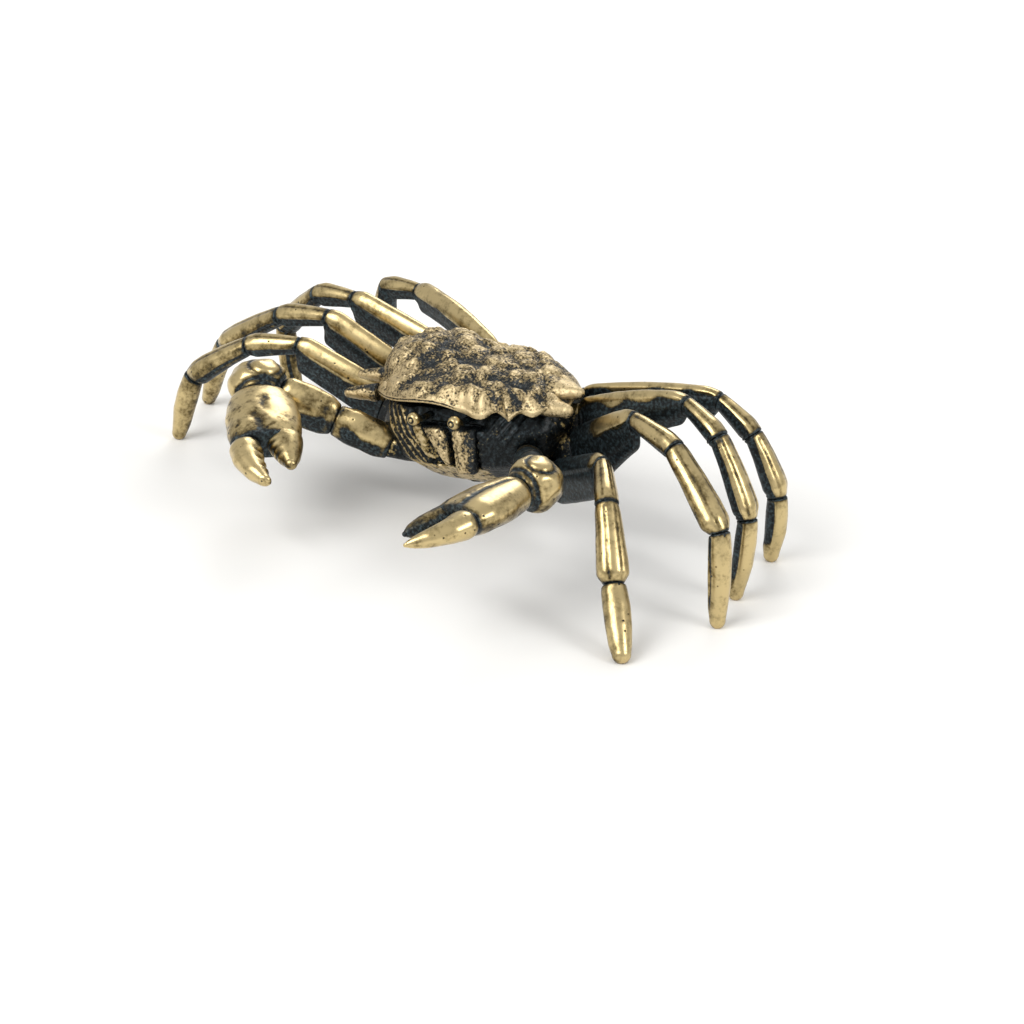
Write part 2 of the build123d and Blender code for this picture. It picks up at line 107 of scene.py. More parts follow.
def rounded(line, width):
    # Running mean round a closed line
    kernel = np.hanning(width + 2)[1:-1]
    kernel /= kernel.sum()
    padded = np.concatenate([line[-width:], line, line[:width]])
    return np.stack([np.convolve(column, kernel, "same")[width:-width] for column in padded.T], axis=1)


def makeMesh(name, grids):
    # Each grid is rings of points, closed by two poles, and marks that run from 0, in a recess and in painted
    # shade, to 1, where worn bright and in painted highlights
    allPoints, allFaces, allMarks, offset = [], [], [], 0
    for points, mark in grids:
        rings, around = points.shape[:2]
        flat = np.concatenate([points.reshape(-1, 3), points[:1].mean(axis=1), points[-1:].mean(axis=1)])
        marks = np.concatenate([mark.reshape(-1), mark[:1].mean(axis=1), mark[-1:].mean(axis=1)])
        ring, step = np.meshgrid(np.arange(rings - 1), np.arange(around), indexing="ij")
        here, beside = ring * around + step, ring * around + (step + 1) % around
        quads = np.stack([here, beside, beside + around, here + around], axis=-1).reshape(-1, 4)
        start = np.arange(around)
        following = (start + 1) % around
        firstPole, lastPole, lastRing = rings * around, rings * around + 1, (rings - 1) * around
        fanA = np.stack([np.full(around, firstPole), following, start], axis=1)
        fanB = np.stack([np.full(around, lastPole), lastRing + start, lastRing + following], axis=1)
        corners = np.concatenate([quads[:, [0, 1, 2]], quads[:, [0, 2, 3]], fanA, fanB])
        a, b, c = (flat - flat.mean(axis=0))[corners.T]
        if np.sum(a * np.cross(b, c)) < 0:  # faces point outwards
            quads, fanA, fanB = quads[:, ::-1], fanA[:, ::-1], fanB[:, ::-1]
        allPoints.append(flat)
        allMarks.append(marks)
        allFaces += (quads + offset).tolist() + (fanA + offset).tolist() + (fanB + offset).tolist()
        offset += len(flat)
    mesh = bpy.data.meshes.new(name)
    mesh.from_pydata((np.concatenate(allPoints) * metresPerMm).tolist(), [], allFaces)
    mesh.polygons.foreach_set("use_smooth", np.ones(len(mesh.polygons), bool))
    layer = mesh.attributes.new("wear", "FLOAT", "POINT")
    layer.data.foreach_set("value", np.concatenate(allMarks).astype(np.float32))
    mesh.update()
    return mesh


def addObject(name, data):
    item = bpy.data.objects.new(name, data)
    bpy.context.scene.collection.objects.link(item)
    return item


def addPiece(node, grids, material):
    first, *rest = node.split("_")
    name = first + "".join(word.capitalize() for word in rest)
    piece = addObject(name, makeMesh(name, grids))
    piece.data.materials.append(material)
    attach(piece, "root")
    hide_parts(node)


# Brass finishes

def toLinear(hexText):
    # sRGB hex to linear light
    values = np.array([int(hexText[i:i + 2], 16) for i in (1, 3, 5)]) / 255
    linear = np.where(values <= 0.04045, values / 12.92, ((values + 0.055) / 1.055) ** 2.4)
    return (*linear.tolist(), 1.0)


def addNode(tree, kind, inputs=None, **settings):
    node = tree.nodes.new(kind)
    for key, value in settings.items():
        setattr(node, key, value)
    for key, value in (inputs or {}).items():
        if isinstance(value, bpy.types.NodeSocket):
            tree.links.new(value, node.inputs[key])
        else:
            node.inputs[key].default_value = value
    return node


finishes = {
    # Cast brass, tumbled and hand rubbed: satin gold with a few casting pits, black in the grooves and in
    # painted shade
    "rubbedBrass": dict(
        bright="#CBB684", deep="#675732", black="#0D1213", blue="#435358",
        brightRough=0.24, blackRough=0.5, blackMetal=0.7, edge=0.40, soft=0.24, speckle=0.42, smudge=0.5,
        pits=0.7, pitSize=0.8, pitDepth=0.012, grainSize=0.14, grainDepth=0.008, cloudSize=2.2,
    ),
    # Sand-cast brass left as it came from the mould: matte, grainy, the valleys still black
    "sandCastBrass": dict(
        bright="#D0BC92", deep="#857451", black="#15191A", blue="#3F484C",
        brightRough=0.46, blackRough=0.6, blackMetal=0.6, edge=0.42, soft=0.22, speckle=1.3, smudge=0.3,
        pits=0.3, pitSize=0.4, pitDepth=0.02, grainSize=0.1, grainDepth=0.03, cloudSize=1.8,
    ),
    # Blackened brass that no cloth reached: blue-black with small bright sparks
    "blackenedBrass": dict(
        bright="#CDB98E", deep="#8A7748", black="#0A0E0F", blue="#2E383C",
        brightRough=0.3, blackRough=0.38, blackMetal=0.85, edge=0.5, soft=0.2, speckle=1.2, smudge=0.5,
        pits=0.2, pitSize=0.5, pitDepth=0.02, grainSize=0.14, grainDepth=0.035, cloudSize=1.6,
    ),
}


def brassFinish(name):
    look = finishes[name]
    material = bpy.data.materials.new(name)
    material.use_nodes = True
    tree = material.node_tree
    tree.nodes.clear()
    place = addNode(tree, "ShaderNodeTexCoord").outputs["Object"]
    wear = addNode(tree, "ShaderNodeAttribute", attribute_name="wear").outputs["Fac"]

    def pattern(kind, size, output, **inputs):
        # A pattern's scale is one over its size in metres
        inputs = {"Vector": place, "Scale": 1 / metresPerMm / size, **inputs}
        return addNode(tree, kind, inputs).outputs[output]

    def mapped(value, low=0.0, high=1.0, toLow=0.0, toHigh=1.0, curve="LINEAR"):
        inputs = {"Value": value, "From Min": low, "From Max": high, "To Min": toLow, "To Max": toHigh}
        return addNode(tree, "ShaderNodeMapRange", inputs, interpolation_type=curve).outputs["Result"]

    def arithmetic(operation, *values):
        return addNode(tree, "ShaderNodeMath", dict(enumerate(values)), operation=operation).outputs[0]

    def mixed(share, first, second):
        return addNode(tree, "ShaderNodeMix", {0: share, 6: first, 7: second}, data_type="RGBA").outputs[2]

    def noise(size, **inputs):
        return pattern("ShaderNodeTexNoise", size, "Fac", **inputs)

    cloud = noise(look["cloudSize"], Detail=3.0)
    smudge = noise(look["grainSize"] * 5, Detail=2.0)
    speckle = noise(look["grainSize"] * 1.5, Detail=3.0, Roughness=0.6)
    pit = pattern("ShaderNodeTexVoronoi", look["pitSize"], "Distance", Randomness=1.0)
    # How bright: the mark of wear, painted shade and painted highlights, broken up by the speckle, the
    # smudges, the cloud and the pits
    speckled, smudged = look["speckle"], look["smudge"]
    mask = wear
    for source, amount in ((speckle, speckled * 2), (smudge, smudged * 2), (cloud, smudged * 0.7)):
        mask = arithmetic("MULTIPLY_ADD", arithmetic("ADD", source, -0.5), amount, mask)
    pitMask = mapped(pit, 0.05, 0.12, 1.0, 0.0)
    mask = arithmetic("MULTIPLY_ADD", pitMask, -look["pits"], mask)
    edge, soft = look["edge"], look["soft"]
    bright = mapped(mask, edge - soft, edge + soft, curve="SMOOTHSTEP")
    shine = mapped(mask, edge, edge + 0.7, curve="SMOOTHSTEP")
    gold = mixed(shine, toLinear(look["deep"]), toLinear(look["bright"]))
    soot = mixed(mapped(speckle, 0.45, 0.7), toLinear(look["black"]), toLinear(look["blue"]))
    rough = mapped(bright, toLow=look["blackRough"], toHigh=look["brightRough"])
    # The grain is rougher where the black lies; the noise uses half its range, hence twice the depth
    grainHeight = arithmetic("MULTIPLY", speckle, mapped(bright, toLow=1.0, toHigh=0.35))
    grainBump = {"Height": grainHeight, "Distance": look["grainDepth"] * 2 * metresPerMm, "Strength": 1.0}
    fine = addNode(tree, "ShaderNodeBump", grainBump).outputs["Normal"]
    pitBump = {"Height": pitMask, "Distance": look["pitDepth"] * metresPerMm, "Strength": 1.0, "Normal": fine}
    shader = addNode(tree, "ShaderNodeBsdfPrincipled", {
        "Base Color": mixed(bright, soot, gold),
        "Metallic": mapped(bright, toLow=look["blackMetal"]),
        "Roughness": arithmetic("MULTIPLY_ADD", smudge, 0.12, rough),
        "Normal": addNode(tree, "ShaderNodeBump", pitBump, invert=True).outputs["Normal"],
        "Coat Weight": 0.2,
        "Coat Roughness": 0.25,
    })
    addNode(tree, "ShaderNodeOutputMaterial", {"Surface": shader.outputs["BSDF"]})
    return material


rubbedBrass = brassFinish("rubbedBrass")
sandCastBrass = brassFinish("sandCastBrass")
blackenedBrass = brassFinish("blackenedBrass")
print("finishes made")

# The body's own axes: x to the crab's left, y to its rear, z up out of the shell

body = dict(origin=(1.1, 5, 8.1), turn=10, tilt=9.5)
turn, tilt = np.radians(body["turn"]), np.radians(body["tilt"])
bodyX = np.array([np.cos(turn) * np.cos(tilt), np.sin(turn) * np.cos(tilt), np.sin(tilt)])
bodyZ = np.array([-np.cos(turn) * np.sin(tilt), -np.sin(turn) * np.sin(tilt), np.cos(tilt)])
bodyY = np.cross(bodyZ, bodyX)
halfWidth, halfLength, trunkDepth = 7.6, 5.1, 5.2


def fromBody(x, y, z):
    x, y, z = np.broadcast_arrays(np.asarray(x, float), y, z)
    return np.array(body["origin"]) + x[..., None] * bodyX + y[..., None] * bodyY + z[..., None] * bodyZ


def toBody(points):
    moved = points - np.array(body["origin"])
    return moved @ bodyX, moved @ bodyY, moved @ bodyZ


def aim(side, heading, pitch):
    h, p = np.radians(heading), np.radians(pitch)
    return np.array([side * np.cos(p) * np.cos(h), np.cos(p) * np.sin(h), np.sin(p)])


def levelAcross(way):
    return unit([-way[1], way[0], 0])


def frameAt(normal, across):
    x = unit(across - normal * np.dot(across, normal))
    return x, np.cross(normal, x)


def circle(count):
    return np.linspace(0, 2 * np.pi, count, endpoint=False)


def straightStations(rows, start, run, x, y):
    # Each row holds a share of the length and of both half sizes
    return [(share, start + run * share, x * a, y * t) for share, a, t in rows]


def sweep(stations, rings, around, soften, rimDepth=0.2, roundEnd=0):
    # A limb through stations (share of the length, centre, half across, half tall), eased by a running mean.
    # Rounded rims close its ends, or a half ball of radius roundEnd closes the far one.
    shares = np.array([station[0] for station in stations], float)
    rows = np.array([np.concatenate(station[1:]) for station in stations], float)
    u = np.linspace(0, 1, rings)
    even = np.stack([np.interp(u, shares, column) for column in rows.T], axis=1)
    even = running(even, int(rings * soften))
    length = np.linalg.norm(rows[-1, :3] - rows[0, :3])
    rimLength = 0.16
    for away in (u * length,) if roundEnd else (u * length, (1 - u) * length):
        lip = np.sqrt(np.clip(1 - (1 - np.clip(away / rimLength, 0, 1)) ** 2, 0, 1))
        even[:, 3:] *= 1 - rimDepth * (1 - lip[:, None])
    if roundEnd:
        way = unit(rows[-1, :3] - rows[-2, :3])
        lift = np.linspace(0, np.pi / 2, 14)[1:-1]
        cap = np.repeat(even[-1:], len(lift), axis=0)
        cap[:, :3] += np.sin(lift)[:, None] * way * roundEnd
        cap[:, 3:] *= np.cos(lift)[:, None]
        even = np.concatenate([even, cap])
        u = np.concatenate([u, np.ones(len(lift))])
    return even, *np.meshgrid(u, circle(around), indexing="ij")


def turned(theta, across, tall):
    return np.cos(theta)[..., None] * across + np.sin(theta)[..., None] * tall


def ringPoints(even, theta, reach):
    return even[:, None, :3] + reach[..., None] * turned(theta, even[:, None, 3:6], even[:, None, 6:])


def skinPoints(even, theta, across, tall):
    # Places round a limb that only serve to look up the grain
    return even[:, None, :3] + turned(theta, across, tall)


# Walking legs

legSet = dict(
    # Upper leg, knee and shin of each pair
    lengths={"1": (7.2, 3.8, 5.15), "2": (7.4, 4.1, 6.2), "3": (9.2, 3.3, 5.45), "4": (10.4, 3.2, 4.35)},
    # Across and tall of upper leg, knee, shin and toe, and the share of them left at the seam before each
    girths=((1.5, 2.5), (1.45, 1.55), (1.95, 1.65), (1.45, 1.5)), seams=(0.86, 0.8, 0.8, 0.82),
    shoulder=0.62, rootAcross=1.15, upperRise=0.95, toeRadius=0.6, toeFlat=0.1,
    # Shares of the half width, the half length and the trunk's depth
    hips={
        "left_1": (0.99, -0.65, -0.75), "left_2": (0.99, -0.18, -0.5),
        "left_3": (0.98, 0.08, -0.18), "left_4": (0.71, 0.75, -0.24),
        "right_1": (-1.06, -0.07, -0.17), "right_2": (-1.05, 0.49, -0.11),
        "right_3": (-0.79, 1.04, 0), "right_4": (-0.46, 1.26, 0.07),
    },
    # Heading and pitch of upper leg, knee, shin and toe
    angles={
        "left_1": ((-19, -42, -37, -37), (26, -15, -52, -43)),
        "left_2": ((-9, -9, -10, -42), (31, -7, -39, -83)),
        "left_3": ((4, -7, -2, 57), (19, -21, -59, -96)),
        "left_4": ((13, 3, 13, 85), (12, -29, -63, -94)),
        "right_1": ((-21, -24, -25, -20), (21, -9, -35, -74)),
        "right_2": ((-19, -10, -10, 9), (27, -11, -34, -64)),
        "right_3": ((-11, -7, 5, 8), (16, -7, -43, -104)),
        "right_4": ((13, -2, 33, 31), (6, -9, -70, -73)),
    },
    # Height of an upper leg near and far, and its arch, as shares of its girth
    keels={
        "left_1": (1.2, 1.2, 0), "left_2": (1.85, 1.02, 0.04),
        "left_3": (1.7, 0.85, 0.12), "left_4": (1.1, 0.85, 0.12),
        "right_1": (1.3, 1.05, 0), "right_2": (1.35, 1.1, 0.04),
        "right_3": (1.3, 1, 0.06), "right_4": (1, 0.9, 0.16),
    },
    # Black hollow on both flanks of each segment: lower and upper edge as shares of the half height, depth
    hollows={
        "left_1": ((-0.84, 0.35, 0.2), (-0.9, 0, 0.12), (-0.9, -0.3, 0.08), (0, 0, 0)),
        "left_2": ((-0.85, 0.3, 0.22), (-0.9, -0.25, 0.14), (-0.9, -0.4, 0.1), (-0.35, -0.05, 0.16)),
        "left_3": ((-0.95, 0.72, 0.2), (-0.95, 0.45, 0.2), (-0.95, 0.5, 0.2), (-0.95, 0.3, 0.14)),
        "left_4": ((-0.95, 0.75, 0.2), (-0.95, 0.5, 0.2), (-0.95, 0.5, 0.2), (-0.95, 0.35, 0.14)),
        "right_1": ((-0.85, 0.25, 0.24), (-0.75, -0.2, 0.16), (-0.62, -0.42, 0.1), (0, 0, 0)),
        "right_2": ((-0.85, 0.25, 0.24), (-0.75, -0.1, 0.18), (-0.65, -0.4, 0.1), (0, 0, 0)),
        "right_3": ((-0.85, 0.3, 0.24), (-0.8, 0, 0.18), (-0.7, -0.3, 0.12), (-0.7, -0.5, 0.06)),
        "right_4": ((-0.85, 0.15, 0.24), (-0.8, 0.05, 0.18), (-0.7, -0.2, 0.14), (-0.7, -0.4, 0.06)),
    },
    # How far the middle of knee, shin and toe stands out of the straight line
    bends=(0, 0.06, 0.14, 0.1),
    # Girth after the seam, at the waist, at shares of the length, and at the shoulder before the next seam
    limbShape=dict(seam=0.94, waist=0.84, swells=((0.35, 0.93), (0.7, 1.06)), shoulder=1.08),
    toeShape=dict(seam=1.08, waist=0.98, swells=((0.3, 1.04), (0.6, 0.99)), tip=((0.86, 1.04), (1, 0.86))),
    # Toes broader than the rest
    toeBreadths={"left_1": 1.18},
    # Painted shade beside the trunk: where it fades along an upper leg, and its share on the back
    shades={"left_1": (0.8, 0.97, 1), "left_2": (0.3, 0.6, 0.95)}, commonShade=(0.05, 0.4, 0),
    # Two shallow grooves along the back of knee and shin: where, half breadth and depth
    grooves=(64, 116), grooveWidth=8, grooveDepth=0.045,
)


def legFrames(name):
    side = 1 if name.startswith("left") else -1
    headings, pitches = legSet["angles"][name]
    x, y, z = legSet["hips"][name]
    joints = [fromBody(x * halfWidth, y * halfLength, z * trunkDepth)]
    ways = [aim(side, h, p) for h, p in zip(headings, pitches)]
    for way, length in zip(ways, legSet["lengths"][name[-1]]):
        joints.append(joints[-1] + way * length)
    foot = legSet["toeRadius"] - legSet["toeFlat"]
    joints.append(joints[-1] + ways[3] * ((joints[-1][2] - foot) / -ways[3][2]))
    return joints, ways, levelAcross(ways[0] + ways[1] + ways[2])


def legSeam(name, i):
    # Half across and half tall of the seam before a segment, in the plane that halves the bend
    joints, ways, across = legFrames(name)
    normal = unit(ways[i - 1] + ways[i])
    x, y = frameAt(normal, across)
    broad, tall = (girth * legSet["seams"][i] / 2 for girth in legSet["girths"][i])
    return x * broad, y * tall / np.dot(normal, ways[i])


def upperStations(name, root, run, x, y):
    # Deepest beside the body, with an arched back
    near = legSet["shoulder"] / np.linalg.norm(run)
    far = 1 - near
    low, high, arch = legSet["keels"][name]
    broad, tall = legSet["girths"][0]
    seam, rootHalf = legSet["seams"][0], legSet["rootAcross"] / 2
    stations = []
    for share in (0, near, 0.2, 0.35, 0.5, 0.65, 0.8, far):
        depth = tall * (low + (high - low) * share)
        rise = legSet["upperRise"] + tall * arch * np.sin(np.pi * share) - depth / 2
        halfAcross = np.interp(share, [0, near, 0.5, 1], [seam * rootHalf, rootHalf, broad / 2, broad / 2])
        halfTall = depth / 2 * (seam if share == 0 else 1)
        stations.append((share, root + run * share + y * rise, x * halfAcross, y * halfTall))
    return stations


def lowerStations(name, i, start, run, x, y):
    # Narrow after the seam, widest low down, and a round shoulder before the next seam or a blunt tip
    isToe = i == 3
    shape = legSet["toeShape" if isToe else "limbShape"]
    breadth = legSet["toeBreadths"].get(name, 1) if isToe else 1
    seamX, seamY = legSeam(name, i)
    after = shape["seam"] * breadth
    stations = [(0, start, seamX * after, seamY * after)]
    near = legSet["shoulder"] / np.linalg.norm(run)
    swells = [(near * 0.7, shape["waist"]), *shape["swells"]]
    if not isToe:
        swells.append((1 - near, shape["shoulder"]))
    halfAcross, halfTall = legSet["girths"][i][0] / 2 * breadth, legSet["girths"][i][1] / 2
    for share, size in swells:
        centre = start + run * share + y * legSet["bends"][i] * np.sin(np.pi * share)
        stations.append((share, centre, x * halfAcross * size, y * halfTall * size))
    if isToe:
        for share, size in shape["tip"]:
            radius = legSet["toeRadius"] * breadth * size
            stations.append((share, start + run * share, x * radius, y * radius))
    return stations


def legSegment(name, i):
    joints, ways, across = legFrames(name)
    run = joints[i + 1] - joints[i]
    length = np.linalg.norm(run)
    x, y = frameAt(ways[i], across)
    isUpper, isToe = i == 0, i == 3
    if isUpper:
        stations = upperStations(name, joints[0], run, x, y)
    else:
        stations = lowerStations(name, i, joints[i], run, x, y)
    if not isToe:
        stations.append((1, joints[i + 1], *legSeam(name, i + 1)))
    even, u, theta = sweep(stations, 110, 96, 0.06, 0.16, legSet["toeRadius"] if isToe else 0)
    height = np.sin(theta)
    alongMm = u * length
    rough = grain(skinPoints(even, theta, 1.2 * x, 1.2 * y) + 7 * i, 0.9)
    wander = grain(skinPoints(even, theta, 2 * x, 0 * y) + 5 * i, 1.3)
    # The hollow shallows out just before both seams, and a toe's before its tip; its black edge wanders
    low, high, depth = legSet["hollows"][name][i]
    hollow = band(low, high, 0.1, height) * (depth > 0)
    flank = band(low, high, 0.1, height + 0.14 * wander) * (depth > 0)
    fade = ease(0.62, 0.95, u) if isToe else ease(length - 0.4, length - 0.1, alongMm)
    opened = ease(0.05, 0.4, alongMm) * (1 - fade)
    reach = 1 - depth * hollow * opened + 0.018 * rough
    mark = 1 - 1.1 * flank * (opened if isToe else 0.5 + 0.5 * opened)
    # Darker underneath, and painted shade down the sides below the bright top strip
    under, side = (0.2, 0.22) if isToe else (0.5, 0.4)
    mark = mark - under * ease(-0.5, -0.95, height) - side * ease(0.75, -0.1, height)
    if i in (1, 2):
        for at in legSet["grooves"]:
            groove = bell(angleFrom(theta, at), legSet["grooveWidth"]) * opened
            reach = reach - legSet["grooveDepth"] * groove
            mark = mark - 0.45 * groove
    # The seams stay black, and brown beside it
    dark, brown = np.zeros_like(u), np.zeros_like(u)
    if not isUpper:
        dark, brown = bell(alongMm, 0.1), bell(alongMm, 0.45)
    if not isToe:
        dark, brown = dark + bell(length - alongMm, 0.1), brown + bell(length - alongMm, 0.3)
    mark = mark - dark - 0.32 * brown * (1 + rough)
    if isUpper:
        # Painted shade beside the trunk, fading along the upper leg
        start, end, top = legSet["shades"].get(name, legSet["commonShade"])
        mark = mark - 1.1 * (1 - ease(start, end, u)) * np.maximum(ease(0.95, -0.2, height), top)
        # A painted highlight along the lower edge of the leg before the others
        mark = mark + 0.5 * bell(height + 0.97, 0.12) * (name == "left_1")
    points = ringPoints(even, theta, reach)
    points[..., 2] = np.maximum(points[..., 2], 0)
    return points, np.clip(mark + 0.1 * rough, -0.2, 1.2)


for name in legSet["angles"]:
    side, number = name.split("_")
    for i, segment in enumerate(("upper", "knee", "shin", "toe")):
        addPiece(f"{side}_leg_{number}_{segment}", [legSegment(name, i)], rubbedBrass)
print("legs made")

# Shell

shellSet = dict(
    crown=2.5, rim=0.95, lipThick=0.3, centre=(0, -0.2),
    around=600, topRings=118, rimRings=12, underRings=8,
    # The margin's lower edge from the middle of the brow round the crab's left, with four teeth, and back
    margin=(
        (0.25, -5, 0.85), (1, -5, 0.5), (1.75, -4.75, 0.25), (2.75, -5, 0), (3.5, -5, 0),
        (4, -4.25, 0.4), (5, -4.5, 0), (5.5, -5, 0), (5.75, -4, 0.4), (6.25, -3.75, 0),
        (6.75, -3.75, 0), (7.25, -3, 0.4), (8, -3.25, 0), (8.25, -2, 0.2), (7.75, -0.5, 0.4),
        (7.5, 0.75, 0.2), (6, 2.5, 0.1), (3.25, 4, 0), (0, 4.75, 0), (-3, 4.75, 0),
        (-5.25, 4.25, 0), (-7.75, 2.25, 0), (-8, 0.25, 0), (-7.75, -1.5, 0.1), (-7, -2.75, 0.3),
        (-6, -3.5, 0.45), (-5, -4.25, 0.45), (-3.5, -4.75, 0.6), (-2.5, -5, 0.75), (-1.5, -5.25, 0.9),
        (-0.5, -5.25, 0.9),
    ),
    # The dome's ellipsoid against the shell's half width, half length and rim, and the lowest it gets
    domeShares=(1.25, 1.45, 1.6), lowest=0.7,
    # The hill on the crab's right: place, radii, foot and height
    hill=(-4.2, 1, 4.4, 3.8, 0.6, 2.7),
    # Spines: share of half width and half length, rise, the root's half breadth and height, the tip's radius
    spineLength=2.3,
    leftSpines=((1.19, -0.56, 0.3, 0.8, 0.65, 0.45), (1.16, -0.2, 0.95, 1.1, 0.75, 0.45)),
    rightSpines=((1.2, -0.68, 0.35, 0.65, 0.62, 0.34), (1.19, -0.36, 1.15, 0.6, 0.55, 0.3)),
    # Lumps in rows from the brow to the rear: y of the row, then x and radius of each
    lumpRows=(
        (-4.5, ((-2, 0.8), (0.5, 0.5), (2, 0.8), (3.5, 0.65))),
        (-3.5, ((-6, 0.5), (-4.5, 0.8), (-0.5, 0.5), (3.5, 0.65), (5, 0.8), (6.5, 0.65))),
        (-2.5, ((-4, 0.65), (-2.5, 0.5), (0.5, 0.8), (2, 0.65), (6, 0.65), (7.5, 0.65))),
        (-1.5, ((-5.5, 0.65), (-1, 0.5), (4.5, 0.8), (7, 0.5))),
        (-0.5, ((-5, 0.5), (-3.5, 0.8), (-2, 0.5), (1.5, 0.65), (2.5, 0.65), (6.5, 0.65))),
        (0.5, ((-6.5, 0.5), (-4, 0.8), (-0.5, 0.65), (3.5, 0.5), (5.5, 0.8), (7, 0.65))),
        (1.5, ((-2, 0.8), (0.5, 0.8), (2.5, 0.8), (4.5, 0.65))),
        (2.5, ((-5.5, 0.65), (-3, 0.8), (1, 0.8), (3.5, 0.65))),
        (3.5, ((-4, 0.65), (-1, 0.8), (1.5, 0.65), (4, 0.5))),
    ),
    # A lump's height is a base and a share of its radius; its place wanders by up to this
    swell=(0.16, 0.14), wander=0.28,
    # Black hollows between them: both ends, half breadth and depth
    hollows=(
        ((-2.5, 0), (0.5, -1), 0.45, 0.2), ((3, -2.5), (5.5, -2.5), 0.4, 0.25),
        ((1, -3.5), (2.5, -3.5), 0.35, 0.12), ((-3.5, -3.5), (-1.5, -3.5), 0.4, 0.12),
        ((-4.5, -1.5), (-2.5, -2), 0.35, 0.12), ((3, 0), (4.5, 0.5), 0.4, 0.1),
        ((-1.5, 2), (0, 2.5), 0.4, 0.1),
    ),
    # Grains: shift, size, height and share of the mark
    grains=((0, 1, 0.07, 0.2), (9, 0.36, 0.06, 0.26), (21, 0.17, 0.04, 0.2)), fluteDepth=0.14,
)


def shellMargin():
    # The margin's lower edge, and an even one without teeth
    line = walkEvenly(shellSet["margin"], shellSet["around"])
    # Crisp teeth on the left front, a smooth curve elsewhere
    crisp = (ease(1, 2, line[:, 0]) * (1 - ease(-0.8, 0.8, line[:, 1])))[:, None]
    return rounded(line, 15) * crisp + rounded(line, 61) * (1 - crisp), rounded(line, 101)


def crownTop(x, y):
    # An oval dome, the hill and the lowest height, joined smoothly as log(exp(4 a) + exp(4 b) + exp(4 c)) / 4
    wideShare, longShare, highShare = shellSet["domeShares"]
    high = shellSet["crown"] + shellSet["rim"] * highShare
    hollow = 1 - (x / (halfWidth * wideShare)) ** 2 - (y / (halfLength * longShare)) ** 2
    dome = shellSet["crown"] - high * (1 - np.sqrt(np.clip(hollow, 0.05, 1)))
    hillX, hillY, hillWide, hillLong, foot, height = shellSet["hill"]
    away = ((x - hillX) / hillWide) ** 2 + ((y - hillY) / hillLong) ** 2
    hill = np.where(away < 1, foot + height * np.sqrt(np.clip(1 - away ** 1.4, 0, 1)), -9)
    return np.log(np.exp(4 * dome) + np.exp(4 * hill) + np.exp(4 * shellSet["lowest"])) / 4


def shellRelief(flat):
    # The highest and second highest lump and the deepest hollow at each point
    level = np.zeros(flat.shape[:2])
    wander = np.stack([grain(flat + 31, 0.8), grain(flat + 47, 0.8)], axis=-1)
    bent = flat[..., :2] + shellSet["wander"] * wander
    lump, second, deep = level, level, level
    base, perRadius = shellSet["swell"]
    for y, row in shellSet["lumpRows"]:
        for x, radius in row:
            away = ((bent[..., 0] - x) ** 2 + (bent[..., 1] - y) ** 2) / radius ** 2
            swell = (1 - ease(0.25, 1.5, away)) * (base + perRadius * radius)
            second = np.maximum(second, np.minimum(swell, lump))
            lump = np.maximum(lump, swell)
    for start, end, breadth, depth in shellSet["hollows"]:
        run = np.array(end) - np.array(start)
        share = np.clip(((bent - start) @ run) / np.dot(run, run), 0, 1)
        away = np.linalg.norm(bent - start - share[..., None] * run, axis=-1)
        deep = np.maximum(deep, depth * bell(away, breadth))
    return lump, second, deep


